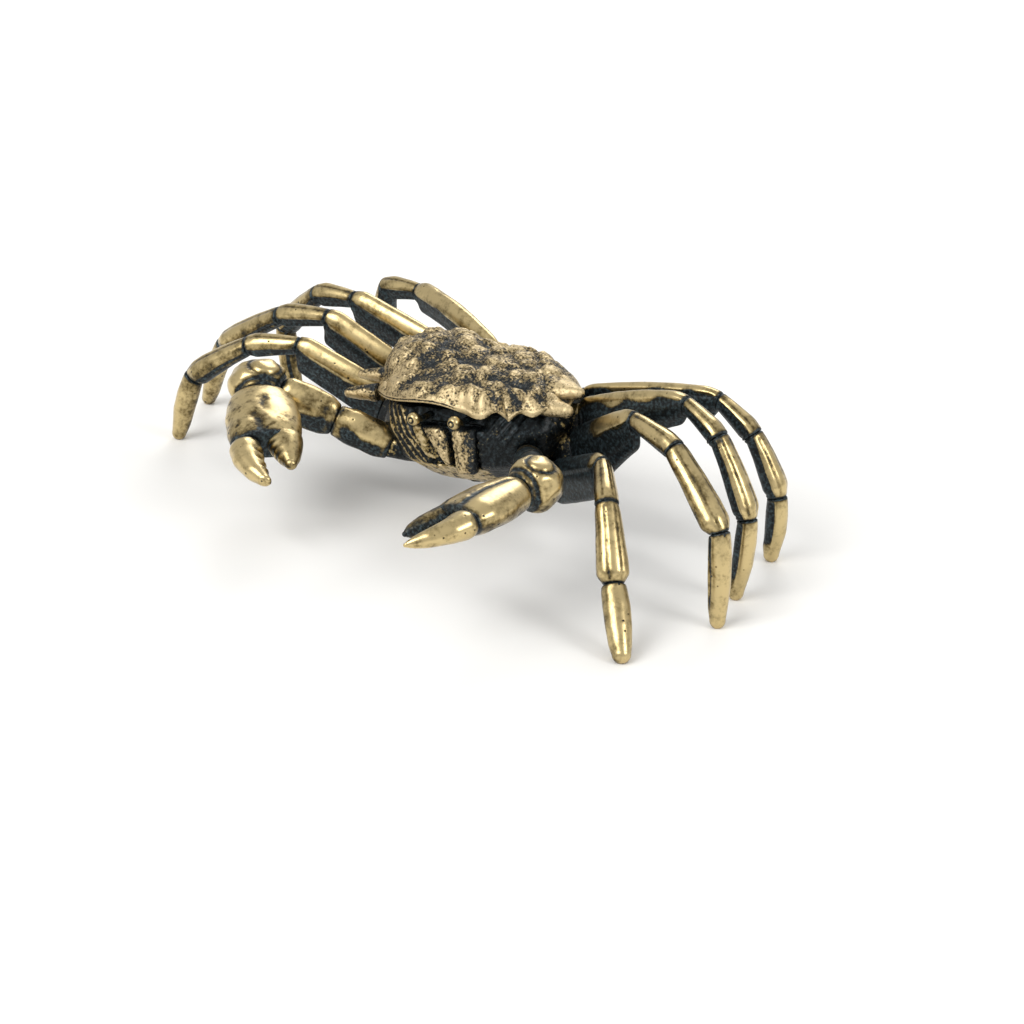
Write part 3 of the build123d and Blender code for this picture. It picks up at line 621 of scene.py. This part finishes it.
def shellGrid():
    # Rings shrink from the rim to the middle. The height is the dome's, eased down to the margin, plus the
    # highest lump, less the hollows, plus a grain. The rim turns over and the underside is flat.
    margin, evenMargin = shellMargin()
    edgeX, edgeY, edgeZ = margin.T
    centre = np.array(shellSet["centre"])
    arm, evenArm = margin[:, :2] - centre, evenMargin[:, :2] - centre

    # Top; the teeth run out inwards
    s = np.linspace(0.01, 1, shellSet["topRings"])[:, None] ** 0.85
    toothed = ease(0.7, 1, s)[..., None]
    spokes = arm * toothed + evenArm * (1 - toothed)
    x, y = centre[0] + s * spokes[..., 0], centre[1] + s * spokes[..., 1]
    flat = np.stack([x, y, np.zeros_like(x)], axis=-1)
    lump, second, deep = shellRelief(flat)
    fineHeight, fineMark = np.zeros_like(x), np.zeros_like(x)
    for shift, size, height, share in shellSet["grains"]:
        fineness = grain(flat + shift, size)
        fineHeight, fineMark = fineHeight + height * fineness, fineMark + share * fineness
    base = edgeZ + shellSet["lipThick"]
    brink = 0.74 + 0.12 * ease(0, -4, edgeX)
    share = (1 - np.clip((s - brink) / (1 - brink), 0, 1) ** 2.4) ** 0.6
    z = base + (np.maximum(crownTop(x, y), base + 0.1) - base) * share
    z = z + (lump - deep + fineHeight) * (0.25 + 0.75 * share)
    # Flutes run up from the notches between the teeth
    notch = ease(0.1, 0.35, edgeZ) * ease(2.6, 3.6, edgeX) * (1 - ease(-1.5, 0, edgeY))
    z = z - shellSet["fluteDepth"] * notch * bell(s - 0.94, 0.06)
    # Blackest over the crab's right front and along the middle, smooth and bright at the rear and left
    dirty = bell(x + 3, 3.5) * bell(y + 2, 2.6) + 0.6 * bell(y + 2.5, 1.4) * bell(x - 2.5, 4)
    mark = 0.49 - 0.06 * np.clip(dirty, 0, 1) + 1.1 * (lump - 0.5 * second) - 2.4 * deep + fineMark
    # Painted light over the right front corner; the brink is brighter as well
    mark = mark + 0.35 * bell(x + 5.8, 2.2) * bell(y + 3.2, 1.6) + 0.2 * ease(0.9, 0.98, s)
    mark = mark - 0.55 * notch * bell(s - 0.9, 0.1)

    # A half-round lip; on the brow a black line parts it into two
    t = np.linspace(0, np.pi, shellSet["rimRings"])[1:-1, None]
    parting = ease(-2.5, -3.4, edgeY) * (1 - ease(0.6, 1.8, edgeX)) * bell(t - 1.45, 0.3)
    outward = 1 + (0.06 * np.sin(t) - 0.05 * parting) / np.linalg.norm(arm, axis=1)
    rimX, rimY = centre[0] + outward * arm[:, 0], centre[1] + outward * arm[:, 1]
    rimZ = z[-1] * (1 + np.cos(t)) / 2 + edgeZ * (1 - np.cos(t)) / 2
    rimMark = 1.2 - 1.4 * parting - ease(2.3, 2.9, t) - 0.5 * notch

    # Underside
    u = np.linspace(0.97, 0.03, shellSet["underRings"])[:, None]
    underX, underY = centre[0] + u * arm[:, 0], centre[1] + u * arm[:, 1]
    underZ = edgeZ * ease(0.6, 0.95, u)
    marks = np.concatenate([mark, rimMark, np.full_like(underX, -0.2)])
    columns = (x, rimX, underX), (y, rimY, underY), (z, rimZ, underZ)
    return fromBody(*map(np.concatenate, columns)), np.clip(marks, -0.3, 1.3)


def spineGrid(side, share, lift, rise, broad, tall, tipRadius):
    # A blunt thorn or lobe: straight taper from its root to a half ball
    tip = fromBody(side * share * halfWidth, lift * halfLength, rise)
    root = fromBody(side * (share * halfWidth - shellSet["spineLength"]), lift * halfLength * 0.8, rise)
    way = unit(tip - root)
    x, y = frameAt(way, bodyY)
    tipTall = tipRadius * min(1, tall / broad + 0.2)
    stations = [
        (0, root, x * broad, y * tall), (0.55, (root + tip) / 2, x * broad * 0.8, y * tall * 0.8),
        (1, tip - way * tipRadius, x * tipRadius, y * tipTall),
    ]
    even, u, theta = sweep(stations, 50, 56, 0.1, 0, tipRadius)
    skin = skinPoints(even, theta, x, y)
    rough = grain(skin, 0.5) + 0.5 * grain(skin, 0.25)
    rootMark = 0.5 if side < 0 else 0.6
    mark = rootMark + (1.1 - rootMark) * ease(0.1, 0.35, u) + 0.2 * rough
    mark = mark - 0.7 * ease(-0.3, -0.9, np.sin(theta))
    return ringPoints(even, theta, 1 + 0.05 * rough), np.clip(mark, 0, 1.2)


shellGrids = [shellGrid()]
for side, spines in ((1, shellSet["leftSpines"]), (-1, shellSet["rightSpines"])):
    for spine in spines:
        shellGrids.append(spineGrid(side, *spine))
addPiece("shell", shellGrids, sandCastBrass)
print("shell made")

# Trunk and eyes

trunkSet = dict(
    halfWidth=7.1, halfLength=4.65, bluntness=0.72, around=420, rings=120,
    # Share of the depth, then of the half width, of the front and of the rear
    levels=(
        (0, 0.93, -0.9, 0.92), (-0.29, 1, -1.05, 0.95), (-0.66, 0.87, -1.03, 0.82), (-1, 0.5, -0.68, 0.56),
    ),
    # The face's sunk fields: x from and to, z from and to, softness of their edges, and depth
    orbit=((-3, 3, 0.4), (-0.95, 0.6, 0.15), 0.5), mouth=((-1.6, 2.45, 0.12), (-3.6, -0.85, 0.12), 0.44),
    # Thin ridges down a cheek: x at the seam, slope and half breadth; and their height
    ridges=((-5.9, 0.75, 0.09), (-5.3, 0.8, 0.09), (-4.75, 0.84, 0.1), (-4.2, 0.86, 0.12)), ridgeHeight=0.12,
    # A hip's root as shares of its seat's x and y and of the trunk's depth
    hipRoots=(0.62, 0.55, -0.1), mouthSink=0.48,
)
trunkFront = 1.05 * trunkSet["halfLength"]
mouthFloor = trunkFront - trunkSet["mouthSink"]


def trunkGrid():
    # Squared ovals at each level, eased from one to the next; the face's hollows and ridges push its points
    # back or forward, and the belly closes in a rounded edge
    levels = np.array(trunkSet["levels"])
    drop = np.linspace(0, 1, trunkSet["rings"])
    shares = running(np.stack([np.interp(drop, -levels[:, 0], levels[:, k]) for k in (1, 2, 3)], axis=1), 9)
    broad, front, rear = shares.T[..., None]
    theta = circle(trunkSet["around"])
    waves = np.array([np.cos(theta), np.sin(theta)])
    acrossShare, longShare = np.abs(waves) ** trunkSet["bluntness"] * np.sign(waves)
    drop = drop[:, None]
    closing = 1 - 0.10 * (1 - np.sqrt(1 - ease(0.9, 1, drop) ** 2 * 0.999))
    x = broad * trunkSet["halfWidth"] * closing * acrossShare
    y = trunkSet["halfLength"] * ((front + rear) / 2 + (rear - front) / 2 * closing * longShare)
    z = np.broadcast_to(-drop * trunkDepth, x.shape)
    flat = np.stack([x, y, z], axis=-1)
    coarse, fineGrain = grain(flat, 0.9), grain(flat + 5, 0.3)
    face = ease(-1.5, -3.2, y)
    push, fields = np.zeros_like(x), []
    for (xLow, xHigh, xSoft), (zLow, zHigh, zSoft), depth in (trunkSet["orbit"], trunkSet["mouth"]):
        fields.append(band(xLow, xHigh, xSoft, x) * band(zLow, zHigh, zSoft, z) * face)
        push = push + depth * fields[-1]
    orbit, mouth = fields
    # The ridges slant down the cheeks, each at x = top + slope * depth, to a broader plane beside the mouth
    ridges, wedge = np.zeros_like(x), np.zeros_like(x)
    for cheekX in (x, -x):
        for top, slope, width in trunkSet["ridges"]:
            ridges = np.maximum(ridges, bell(cheekX - top + slope * z, width))
        plane = band(-3.35 - 0.56 * z, -2.45 - 0.5 * z, 0.08, cheekX) * band(-3.3, -0.9, 0.15, z)
        wedge = np.maximum(wedge, plane)
    ridges, wedge = ridges * band(-4.1, -0.05, 0.25, z) * face, wedge * face
    y = y + push - trunkSet["ridgeHeight"] * (ridges + wedge) + (0.04 * coarse + 0.03 * fineGrain) * face
    x = x * (1 + 0.012 * coarse + 0.006 * fineGrain)
    # Only the face's right half and its lower edge are bright; the right half's brightness is painted light,
    # and the darkening towards the left edge is painted shade
    right = ease(1, -1, x)
    lowEdge = ease(-3.35, -3.8, z) * band(-5.6, 2.6, 0.5, x) * face
    mark = 0.1 + 0.12 * coarse + 0.2 * fineGrain + (0.85 * ridges * face + 0.75 * wedge) * right
    mark = mark + (0.72 + 0.3 * fineGrain) * lowEdge - orbit - 0.5 * mouth - 0.25 * ease(2.4, 3.2, x) * face
    return fromBody(x, y, z), np.clip(mark, -0.3, 1.1)


def hipGrid(seat, halfAcross, halfTall, across, normal):
    # A short neck from inside the trunk to a limb's seat
    seatX, seatY, seatZ = toBody(seat)
    rootX, rootY, rootZ = trunkSet["hipRoots"]
    root = fromBody(seatX * rootX, seatY * rootY, seatZ + rootZ * trunkDepth)
    x, y = frameAt(unit(seat - root), across)
    seatAcross, seatTall = frameAt(normal, across)
    stations = [
        (0, root, x * halfAcross * 2.1, y * halfTall * 1.1),
        (0.6, root + (seat - root) * 0.6, x * halfAcross * 1.5, y * halfTall * 1.05),
        (1, seat, seatAcross * halfAcross, seatTall * halfTall),
    ]
    even, u, theta = sweep(stations, 60, 72, 0.1, 0.05)
    rough = grain(skinPoints(even, theta, 2 * x, 0 * y), 0.6)
    mark = 0.1 + 0.3 * rough + 0.35 * ease(0.3, 0.9, np.sin(theta))
    return ringPoints(even, theta, 1 + 0.05 * rough), np.clip(mark, 0, 1)


trunkGrids = [trunkGrid()]
for name in legSet["angles"]:
    joints, ways, across = legFrames(name)
    x, y = frameAt(ways[0], across)
    tall = legSet["girths"][0][1] * legSet["keels"][name][0]
    seat = joints[0] + y * (legSet["upperRise"] - tall / 2)
    seam = legSet["seams"][0] / 2
    trunkGrids.append(hipGrid(seat, legSet["rootAcross"] * seam, tall * seam, across, ways[0]))

# The claws' sizes come before the claws, because the trunk has a hip for each
clawSet = dict(
    hips={"left": (0.74, -0.7, -0.58), "right": (-0.74, -0.7, -0.58)}, hipHalves=(0.84, 0.92),
    # Heading and pitch of the arm; heading, pitch and roll of the hand
    angles={"left": ((-43, 15), (-90, -3, 16)), "right": ((-34, 21), (-142, -11.5, 0))},
    wristRadius=1.8, wristSeam=1.45, palmLength=5.6, palmWidth=5, palmThick=2.7,
    fingerLength=4.2, fingerWidth=1.95, fingerThick=1.7, spread=0.52, baseLength=4.1, armLength=4.2,
    baseGirth=(2.1, 2.3), armGirth=(2.2, 2.8), talls={"left": 1, "right": 1.12},
    # Share of the length, of the half breadth and of the half thickness
    baseRows=((0, 0.8, 0.8), (0.2, 0.98, 0.98), (0.7, 1, 1), (1, 0.85, 0.85)),
    armRows=((0, 0.81, 0.7), (0.18, 0.92, 0.94), (0.6, 1, 1), (0.88, 0.92, 0.94), (1, 0.72, 0.72)),
    palmRows={
        "left": ((0, 0.45, 0.72), (0.12, 0.72, 0.92), (0.45, 0.96, 1), (0.78, 1, 0.97), (1, 0.88, 0.78)),
        "right": (
            (0, 0.6, 0.8), (0.05, 0.8, 0.95), (0.2, 0.92, 1), (0.45, 1, 1.02), (0.78, 0.99, 0.97),
            (1, 0.9, 0.78),
        ),
    },
    # Grooves along a palm: place round it, half breadth, depth, start and end; the right's part two lobes
    grooves={
        "left": ((70, 7, 0.1, 0.12, 0.95), (118, 6, 0.08, 0.3, 1), (250, 9, 0.08, 0.2, 0.9)),
        "right": ((78, 9, 0.05, 0.3, 0.6), (100, 11, 0.12, 0.62, 1.1), (270, 10, 0.08, 0.2, 0.9)),
    },
    # How far a groove wanders, how often, how softly it ends and how black it is
    grooveRuns={"left": (10, 3, 0.08, 0.95), "right": (12, 4, 0.12, 0.7)},
    # Fingers. Rows: shares of the length, half size and spread. Tip: the same with the half sizes in mm. Then
    # the end's radius, the teeth's height and how black the whole finger is.
    fixedFingers={
        "left": dict(
            rows=((-0.12, 0.5, 0.5, 1), (0, 0.5, 0.5, 1), (0.25, 0.42, 0.42, 1.2), (0.48, 0.25, 0.28, 1.36)),
            tip=[(0.6, 0.18, 0.18, 1.4)], end=0.18, bite=0.06, dark=0.65,
        ),
        "right": dict(
            rows=((-0.12, 0.6, 0.6, 1), (0, 0.6, 0.6, 1), (0.2, 0.5, 0.52, 1.06), (0.4, 0.36, 0.38, 1.12)),
            tip=[(0.52, 0.42, 0.4, 1.15)], end=0.4, bite=0.06, dark=0.2,
        ),
    },
    freeRoot=((0, 0.5, 0.5, 1), (0.12, 0.55, 0.55, 1.04)),
    freeFingers={
        "left": dict(
            rows=((0.4, 0.45, 0.45, 1), (0.75, 0.3, 0.32, 0.6)),
            tip=[(0.94, 0.3, 0.3, 0.22), (1, 0.15, 0.15, 0.1)], end=0.15, bite=0.06, dark=0,
        ),
        "right": dict(
            rows=((0.4, 0.49, 0.49, 1), (0.75, 0.37, 0.38, 0.62), (0.92, 0.24, 0.26, 0.3)),
            tip=[], end=0.429, bite=0.16, dark=0,
        ),
    },
)


def clawFrames(name):
    side = 1 if name == "left" else -1
    armAngles, (heading, pitch, roll) = clawSet["angles"][name]
    x, y, z = clawSet["hips"][name]
    root = fromBody(x * halfWidth, y * halfLength, z * trunkDepth)
    armWay, handWay = aim(side, *armAngles), aim(side, heading, pitch)
    wrist = root + armWay * (clawSet["baseLength"] + clawSet["armLength"] + clawSet["wristSeam"])
    level = levelAcross(handWay)
    broad = level * np.cos(np.radians(roll)) + np.cross(handWay, level) * np.sin(np.radians(roll))
    across = levelAcross(armWay)
    return dict(root=root, armWay=armWay, across=across, wrist=wrist, handWay=handWay, broad=broad)


for name in clawSet["angles"]:
    claw = clawFrames(name)
    trunkGrids.append(hipGrid(claw["root"], *clawSet["hipHalves"], claw["across"], claw["armWay"]))
addPiece("trunk", trunkGrids, blackenedBrass)


def ballGrid(centre, pole, across, radius, rings=60, around=80):
    # A ball in rings about its pole
    x, y = frameAt(pole, across)
    lift = np.linspace(-np.pi / 2, np.pi / 2, rings + 2)[1:-1]
    lift, theta = np.meshgrid(lift, circle(around), indexing="ij")
    level = turned(theta, x, y)
    normal = np.cos(lift)[..., None] * level + np.sin(lift)[..., None] * pole
    return centre + radius * normal, normal, np.degrees(np.pi / 2 - lift)


eyeSet = dict(
    gap=3.3, radius=0.44, stalk=0.24, drop=0.1, socketDrop=0.36, reach=0.87, socketDepth=0.5,
    # The ring round the dimple: place in degrees from the front, half breadth and depth
    ring=(26, 9, 0.09),
)


def eyeGrids(side):
    x = side * eyeSet["gap"] / 2
    foot = fromBody(x, eyeSet["socketDepth"] - mouthFloor, -eyeSet["socketDrop"])
    bend = fromBody(x, -mouthFloor - eyeSet["socketDepth"], -eyeSet["socketDrop"])
    centre = fromBody(x, -trunkFront - eyeSet["reach"], -eyeSet["drop"])
    points, normal, fromPole = ballGrid(centre, -bodyY, bodyX, eyeSet["radius"])
    # The dimple is a ring pressed in round the ball's front, with a bead left in its middle
    ringAt, ringWidth, ringDepth = eyeSet["ring"]
    points = points - normal * (ringDepth * bell(fromPole - ringAt, ringWidth))[..., None]
    mark = 1.1 - 1.2 * bell(fromPole - ringAt - 1, ringWidth) - 0.7 * ease(95, 140, fromPole)
    across, tall = (way * eyeSet["stalk"] for way in frameAt(-bodyY, bodyX))
    end = centre + bodyY * 0.2
    stations = [(0, foot, across, tall), (0.55, bend, across, tall), (1, end, across * 1.15, tall * 1.15)]
    even, u, theta = sweep(stations, 50, 32, 0.08, 0)
    stalk = ringPoints(even, theta, np.ones_like(u))
    return [(points, mark), (stalk, 0.2 + 0.5 * ease(0.6, 1, u))]


addPiece("left_eye", eyeGrids(1), rubbedBrass)
addPiece("right_eye", eyeGrids(-1), rubbedBrass)
print("trunk and eyes made")

# Mouth plates

plateSet = dict(
    # Outlines (x, z): the right plate is a triangle that hangs from the eye, the left one a tall pad
    outlines={
        "left": ((0.55, -0.95), (2.4, -0.91), (2.45, -1.5), (2.1, -4), (0.7, -4.05)),
        "right": ((-1.75, -0.95), (-0.2, -0.95), (0.2, -1.5), (0.2, -3.5), (-0.1, -3.55)),
    },
    # How far its front stands out at the edge and how much more in the middle
    edgeOut=0.3, swell=0.4,
)


def plateGrid(label):
    # Rings shrink from the outline to its middle while the front swells and takes on a coarse grain
    line = rounded(walkEvenly(plateSet["outlines"][label], 200), 13)
    centre = line.mean(axis=0)
    angle = np.linspace(0, np.pi / 2, 60)[1:]
    scale = np.concatenate([[0.6, 1], 1 - 0.97 * (1 - np.cos(angle) ** 0.55)])[:, None]
    front = plateSet["edgeOut"] + plateSet["swell"] * np.sin(angle) ** 0.7
    out = np.concatenate([[0, 0.02], front])[:, None]
    x, z = (centre[k] + scale * (line[:, k] - centre[k]) for k in (0, 1))
    flat = np.stack([x, z, np.zeros_like(x)], axis=-1)
    rough, fineRough = grain(flat + 3, 0.45), grain(flat + 13, 0.2)
    y = -mouthFloor - out - (0.05 * rough + 0.04 * fineRough) * ease(0.2, 0.5, out)
    mark = 0.75 * ease(0.3, 0.6, out) + 0.35 * rough + 0.4 * fineRough
    if label == "left":
        # Blacker towards the cheek and the mouth's groove
        mark = mark - 0.75 * ease(1.3, 2.4, x) - 0.6 * ease(0.85, 0.55, x)
    return fromBody(x, y, z), np.clip(mark, 0, 1.2)


addPiece("left_mouth_plate", [plateGrid("left")], sandCastBrass)
addPiece("right_mouth_plate", [plateGrid("right")], sandCastBrass)

# Belly flap

flapSet = dict(
    width=4.6, length=4.6, middle=-0.06, groovePitch=0.66, grooveDepth=0.09,
    # Half its outline, as shares of half its width and half its length
    outline=((0, -1), (0.42, -0.86), (0.62, -0.5), (1, 0.35), (0.9, 1), (0, 1)),
)


def flapGrid():
    # The tucked tail: rings shrink from its outline to its middle, and cross grooves part its seven joints
    left = [(x * flapSet["width"] / 2, y * flapSet["length"] / 2) for x, y in flapSet["outline"]]
    line = rounded(walkEvenly(left + [(-x, y) for x, y in left[-2:0:-1]], 240), 11)
    angle = np.linspace(0, np.pi / 2, 60)[1:]
    scale = np.concatenate([[0.7, 1], np.cos(angle) ** 0.55 * 0.97])[:, None]
    down = np.concatenate([[0, 0.03], 0.1 + 0.4 * np.sin(angle) ** 0.7])[:, None]
    x, y = scale * line[:, 0], scale * line[:, 1]
    onFace = down > 0.05
    groove = bell(((y + flapSet["length"] / 2) / flapSet["groovePitch"]) % 1 - 0.5, 0.12) * onFace
    rough = grain(np.stack([x, y, np.zeros_like(x)], axis=-1), 0.5)
    z = -trunkDepth - down + flapSet["grooveDepth"] * groove + 0.02 * rough * onFace
    middle = flapSet["middle"] * trunkSet["halfLength"]
    return fromBody(x, y + middle, z), np.clip(0.5 - 0.6 * groove + 0.3 * rough, 0, 1)


addPiece("belly_flap", [flapGrid()], blackenedBrass)
print("mouth and belly made")

# Claws


def clawTube(name, part):
    claw = clawFrames(name)
    way, length = claw["armWay"], clawSet[part + "Length"]
    x, y = frameAt(way, claw["across"])
    isArm = part == "arm"
    start = claw["root"] + way * clawSet["baseLength"] * isArm
    halfAcross, halfTall = (girth / 2 for girth in clawSet[part + "Girth"])
    halfTall *= clawSet["talls"][name]
    rows = clawSet[part + "Rows"]
    stations = straightStations(rows, start, way * length, x * halfAcross, y * halfTall)
    even, u, theta = sweep(stations, 100, 110, 0.06, 0.14)
    height = np.sin(theta)
    alongMm = u * length
    fromEnd = length - alongMm
    rough = grain(skinPoints(even, theta, x, y), 0.8)
    flank = band(-0.75, 0, 0.15, height + 0.25 * rough) * ease(0.3, 0.9, alongMm) * ease(0.3, 0.9, fromEnd)
    reach = 1 - (0.1 if isArm else 0.05) * flank + 0.03 * rough
    # Black at both seams, less so where base and arm meet
    outer, middle = (fromEnd, alongMm) if isArm else (alongMm, fromEnd)
    seams = bell(outer, 0.25) + 0.55 * bell(middle, 0.25)
    mark = 0.9 - 0.75 * flank + 0.45 * rough - seams
    # Painted shade down the sides, and darker underneath
    mark = mark - 0.25 * ease(0.5, -0.2, height) - 0.5 * ease(-0.6, -1, height)
    if name == "left":
        # Painted shadow, black between trunk and wrist
        mark = mark - 0.8 * (1 - ease(0.8, 1, u) * isArm)
    return ringPoints(even, theta, reach), np.clip(mark, -0.2, 1.2)


def wristGrid(name):
    # A ball cut flat at both seams, with a raised ring on top and a groove on the hand's side
    claw = clawFrames(name)
    wrist, handWay, backWay = claw["wrist"], claw["handWay"], -claw["armWay"]
    up = np.array([0, 0, 1])
    points, normal, fromPole = ballGrid(wrist, up, claw["across"], clawSet["wristRadius"], 90, 120)
    if name == "right":
        # The right one is a broader block
        level = unit(claw["broad"] * [1, 1, 0])
        points = points + 0.16 * ((points - wrist) @ level)[..., None] * level
    toHand, toArm = normal @ handWay, normal @ backWay
    rough, bumps = grain(points, 0.9), 0.07 * grain(points + 4, 0.6)
    fromTop = np.degrees(np.arccos(np.clip(normal @ unit([0.25, 0.1, 1]), -1, 1)))
    ring = bell(fromTop - 33, 6)
    collar = bell(toHand - 0.62, 0.09) + bell(toArm - 0.66, 0.09)
    points = points + normal * (0.07 * rough - 0.1 * ring - 0.14 * collar + bumps)[..., None]
    for way in (handWay, backWay):
        over = np.maximum((points - wrist) @ way - clawSet["wristSeam"], 0)
        points = points - over[..., None] * way
    mark = 1.05 - 0.9 * ring * ease(10, 40, fromTop + 20 * rough) - 1.1 * collar + 0.25 * rough + 3 * bumps
    mark = mark - 0.9 * ease(0.68, 0.8, toHand) - 0.9 * ease(0.68, 0.8, toArm)
    mark = mark - 0.5 * ease(0.1, -0.7, normal[..., 2])
    return points, np.clip(mark, -0.2, 1.2)


def palmGrid(name, start, way, broad, rise):
    length, halfAcross, halfThick = clawSet["palmLength"], clawSet["palmWidth"] / 2, clawSet["palmThick"] / 2
    rows = clawSet["palmRows"][name]
    stations = straightStations(rows, start, way * length, broad * halfAcross, rise * halfThick)
    even, u, theta = sweep(stations, 120, 150, 0.08, 0.3)
    alongMm = u * length
    skin = skinPoints(even, theta, 2 * broad, 2 * rise)
    rough = grain(skin, 1)
    mark = 1.0 + 0.25 * rough - 1.1 * bell(alongMm, 0.3) - 0.45 * ease(0.2, -0.6, np.sin(theta))
    mark = mark - 0.8 * bell(length - alongMm, 0.35)
    reach = 1 + 0.02 * rough
    sway, waves, soft, dark = clawSet["grooveRuns"][name]
    for at, width, depth, low, high in clawSet["grooves"][name]:
        groove = bell(angleFrom(theta, at + sway * np.sin(waves * u)), width) * band(low, high, soft, u)
        reach = reach - depth * groove
        mark = mark - dark * groove
    if name == "right":
        mark = mark - 0.25 * ease(0.1, 0.5, grain(skin, 1.4)) - 0.3 * ease(0.3, 0.6, grain(skin + 9, 0.3))
    return ringPoints(even, theta, reach), np.clip(mark, -0.2, 1.2)


def fingerGrid(shape, root, rootDark, palmEnd, way, broad, rise, sideWay):
    # A finger tapers along a bent line and has blunt teeth on its inner side
    width, thick = clawSet["fingerWidth"], clawSet["fingerThick"]
    spread = clawSet["palmWidth"] / 2 * clawSet["spread"]
    rows = [(share, a * width, t * thick, offset) for share, a, t, offset in (*root, *shape["rows"])]
    rows += shape["tip"]
    first, last = rows[0][0], rows[-1][0]
    stations = []
    for share, halfAcross, halfThick, offset in rows:
        centre = palmEnd + way * clawSet["fingerLength"] * share + sideWay * spread * offset
        stations.append(((share - first) / (last - first), centre, broad * halfAcross, rise * halfThick))
    even, u, theta = sweep(stations, 90, 80, 0.07, 0.1, shape["end"])
    inner = 180 if np.dot(sideWay, broad) > 0 else 0
    teeth = np.cos(2 * np.pi * u * 5) * band(0.2, 0.85, 0.06, u)
    rough = grain(skinPoints(even, theta, 2 * broad, 2 * rise), 0.7)
    reach = 1 + shape["bite"] * teeth * bell(angleFrom(theta, inner), 40) + 0.02 * rough
    mark = 1.0 + 0.2 * rough - 0.8 * bell(angleFrom(theta, inner), 30) * (0.6 - 0.4 * teeth)
    mark = mark - rootDark * bell(u, 0.06)
    return ringPoints(even, theta, reach), np.clip(mark, -0.2, 1.2) - shape["dark"]


for name, side in (("left", 1), ("right", -1)):
    claw = clawFrames(name)
    way, broad = claw["handWay"], claw["broad"]
    rise = np.cross(way, broad)
    palmStart = claw["wrist"] + way * clawSet["wristSeam"]
    palmEnd = palmStart + way * clawSet["palmLength"]
    fixed, free = clawSet["fixedFingers"][name], clawSet["freeFingers"][name]
    fixedFinger = fingerGrid(fixed, (), 0.2, palmEnd, way, broad, rise, -side * broad)
    freeFinger = fingerGrid(free, clawSet["freeRoot"], 1.1, palmEnd, way, broad, rise, side * broad)
    parts = {
        "base": [clawTube(name, "base")], "arm": [clawTube(name, "arm")], "wrist": [wristGrid(name)],
        "palm": [palmGrid(name, palmStart, way, broad, rise), fixedFinger], "finger": [freeFinger],
    }
    for part, grids in parts.items():
        addPiece(f"{name}_claw_{part}", grids, rubbedBrass)
print("claws made")

# Floor, light and camera

studio = dict(
    floorSize=3, floorColour="#F2F1EE", floorRough=0.9, worldColour="#FFFFFF", worldStrength=0.66,
    # Place, size and power in metres and watts; all look at the origin
    lamps={
        "keySoftbox": ((-0.05, -0.42, 0.42), 0.36, 2.1),
        "sideSoftbox": ((0.45, 0.1, 0.3), 0.18, 0.8),
        "backSoftbox": ((-0.25, 0.4, 0.38), 0.26, 0.9),
    },
)
half = studio["floorSize"] / 2
floorMesh = bpy.data.meshes.new("paleFloor")
floorCorners = [(-half, -half, 0), (half, -half, 0), (half, half, 0), (-half, half, 0)]
floorMesh.from_pydata(floorCorners, [], [(0, 1, 2, 3)])
floor = addObject("paleFloor", floorMesh)
floorPaint = bpy.data.materials.new("paleBoard")
floorPaint.use_nodes = True
floorInputs = floorPaint.node_tree.nodes["Principled BSDF"].inputs
floorInputs["Base Color"].default_value = toLinear(studio["floorColour"])
floorInputs["Roughness"].default_value = studio["floorRough"]
floorMesh.materials.append(floorPaint)

world = bpy.data.worlds.new("studioWorld")
bpy.context.scene.world = world
world.use_nodes = True
worldInputs = world.node_tree.nodes["Background"].inputs
worldInputs["Color"].default_value = toLinear(studio["worldColour"])
worldInputs["Strength"].default_value = studio["worldStrength"]


def turnTo(start, target, roll):
    # Turns an object's -Z to the target, with its X level and then rolled
    ahead = unit(np.array(target) - np.array(start))
    right = unit(np.cross(ahead, [0, 0, 1]))
    up = np.cross(right, ahead)
    k = np.radians(roll)
    x, y = np.cos(k) * right + np.sin(k) * up, -np.sin(k) * right + np.cos(k) * up
    rows = np.column_stack([x, y, -ahead, start]).tolist()
    return Matrix(rows + [[0, 0, 0, 1]])


for lampName, (place, size, power) in studio["lamps"].items():
    lampData = bpy.data.lights.new(lampName, "AREA")
    lampData.size = size
    lampData.energy = power
    lamp = addObject(lampName, lampData)
    lamp.matrix_world = turnTo(place, (0, 0, 0), 0)

cameraSet = dict(
    place=(154.22, -147.99, 99.18), target=(4.38, 4.466, 0.571), roll=0.907, lens=123.8, sensor=36,
)
cameraData = bpy.data.cameras.new("photoCamera")
cameraData.lens = cameraSet["lens"]
cameraData.sensor_width = cameraSet["sensor"]
cameraData.clip_start = 0.01
camera = addObject("photoCamera", cameraData)
cameraPlace, cameraTarget = (np.array(cameraSet[key]) * metresPerMm for key in ("place", "target"))
camera.matrix_world = turnTo(cameraPlace, cameraTarget, cameraSet["roll"])
bpy.context.scene.camera = camera
bpy.context.scene.view_settings.view_transform = "Standard"
print("studio made")
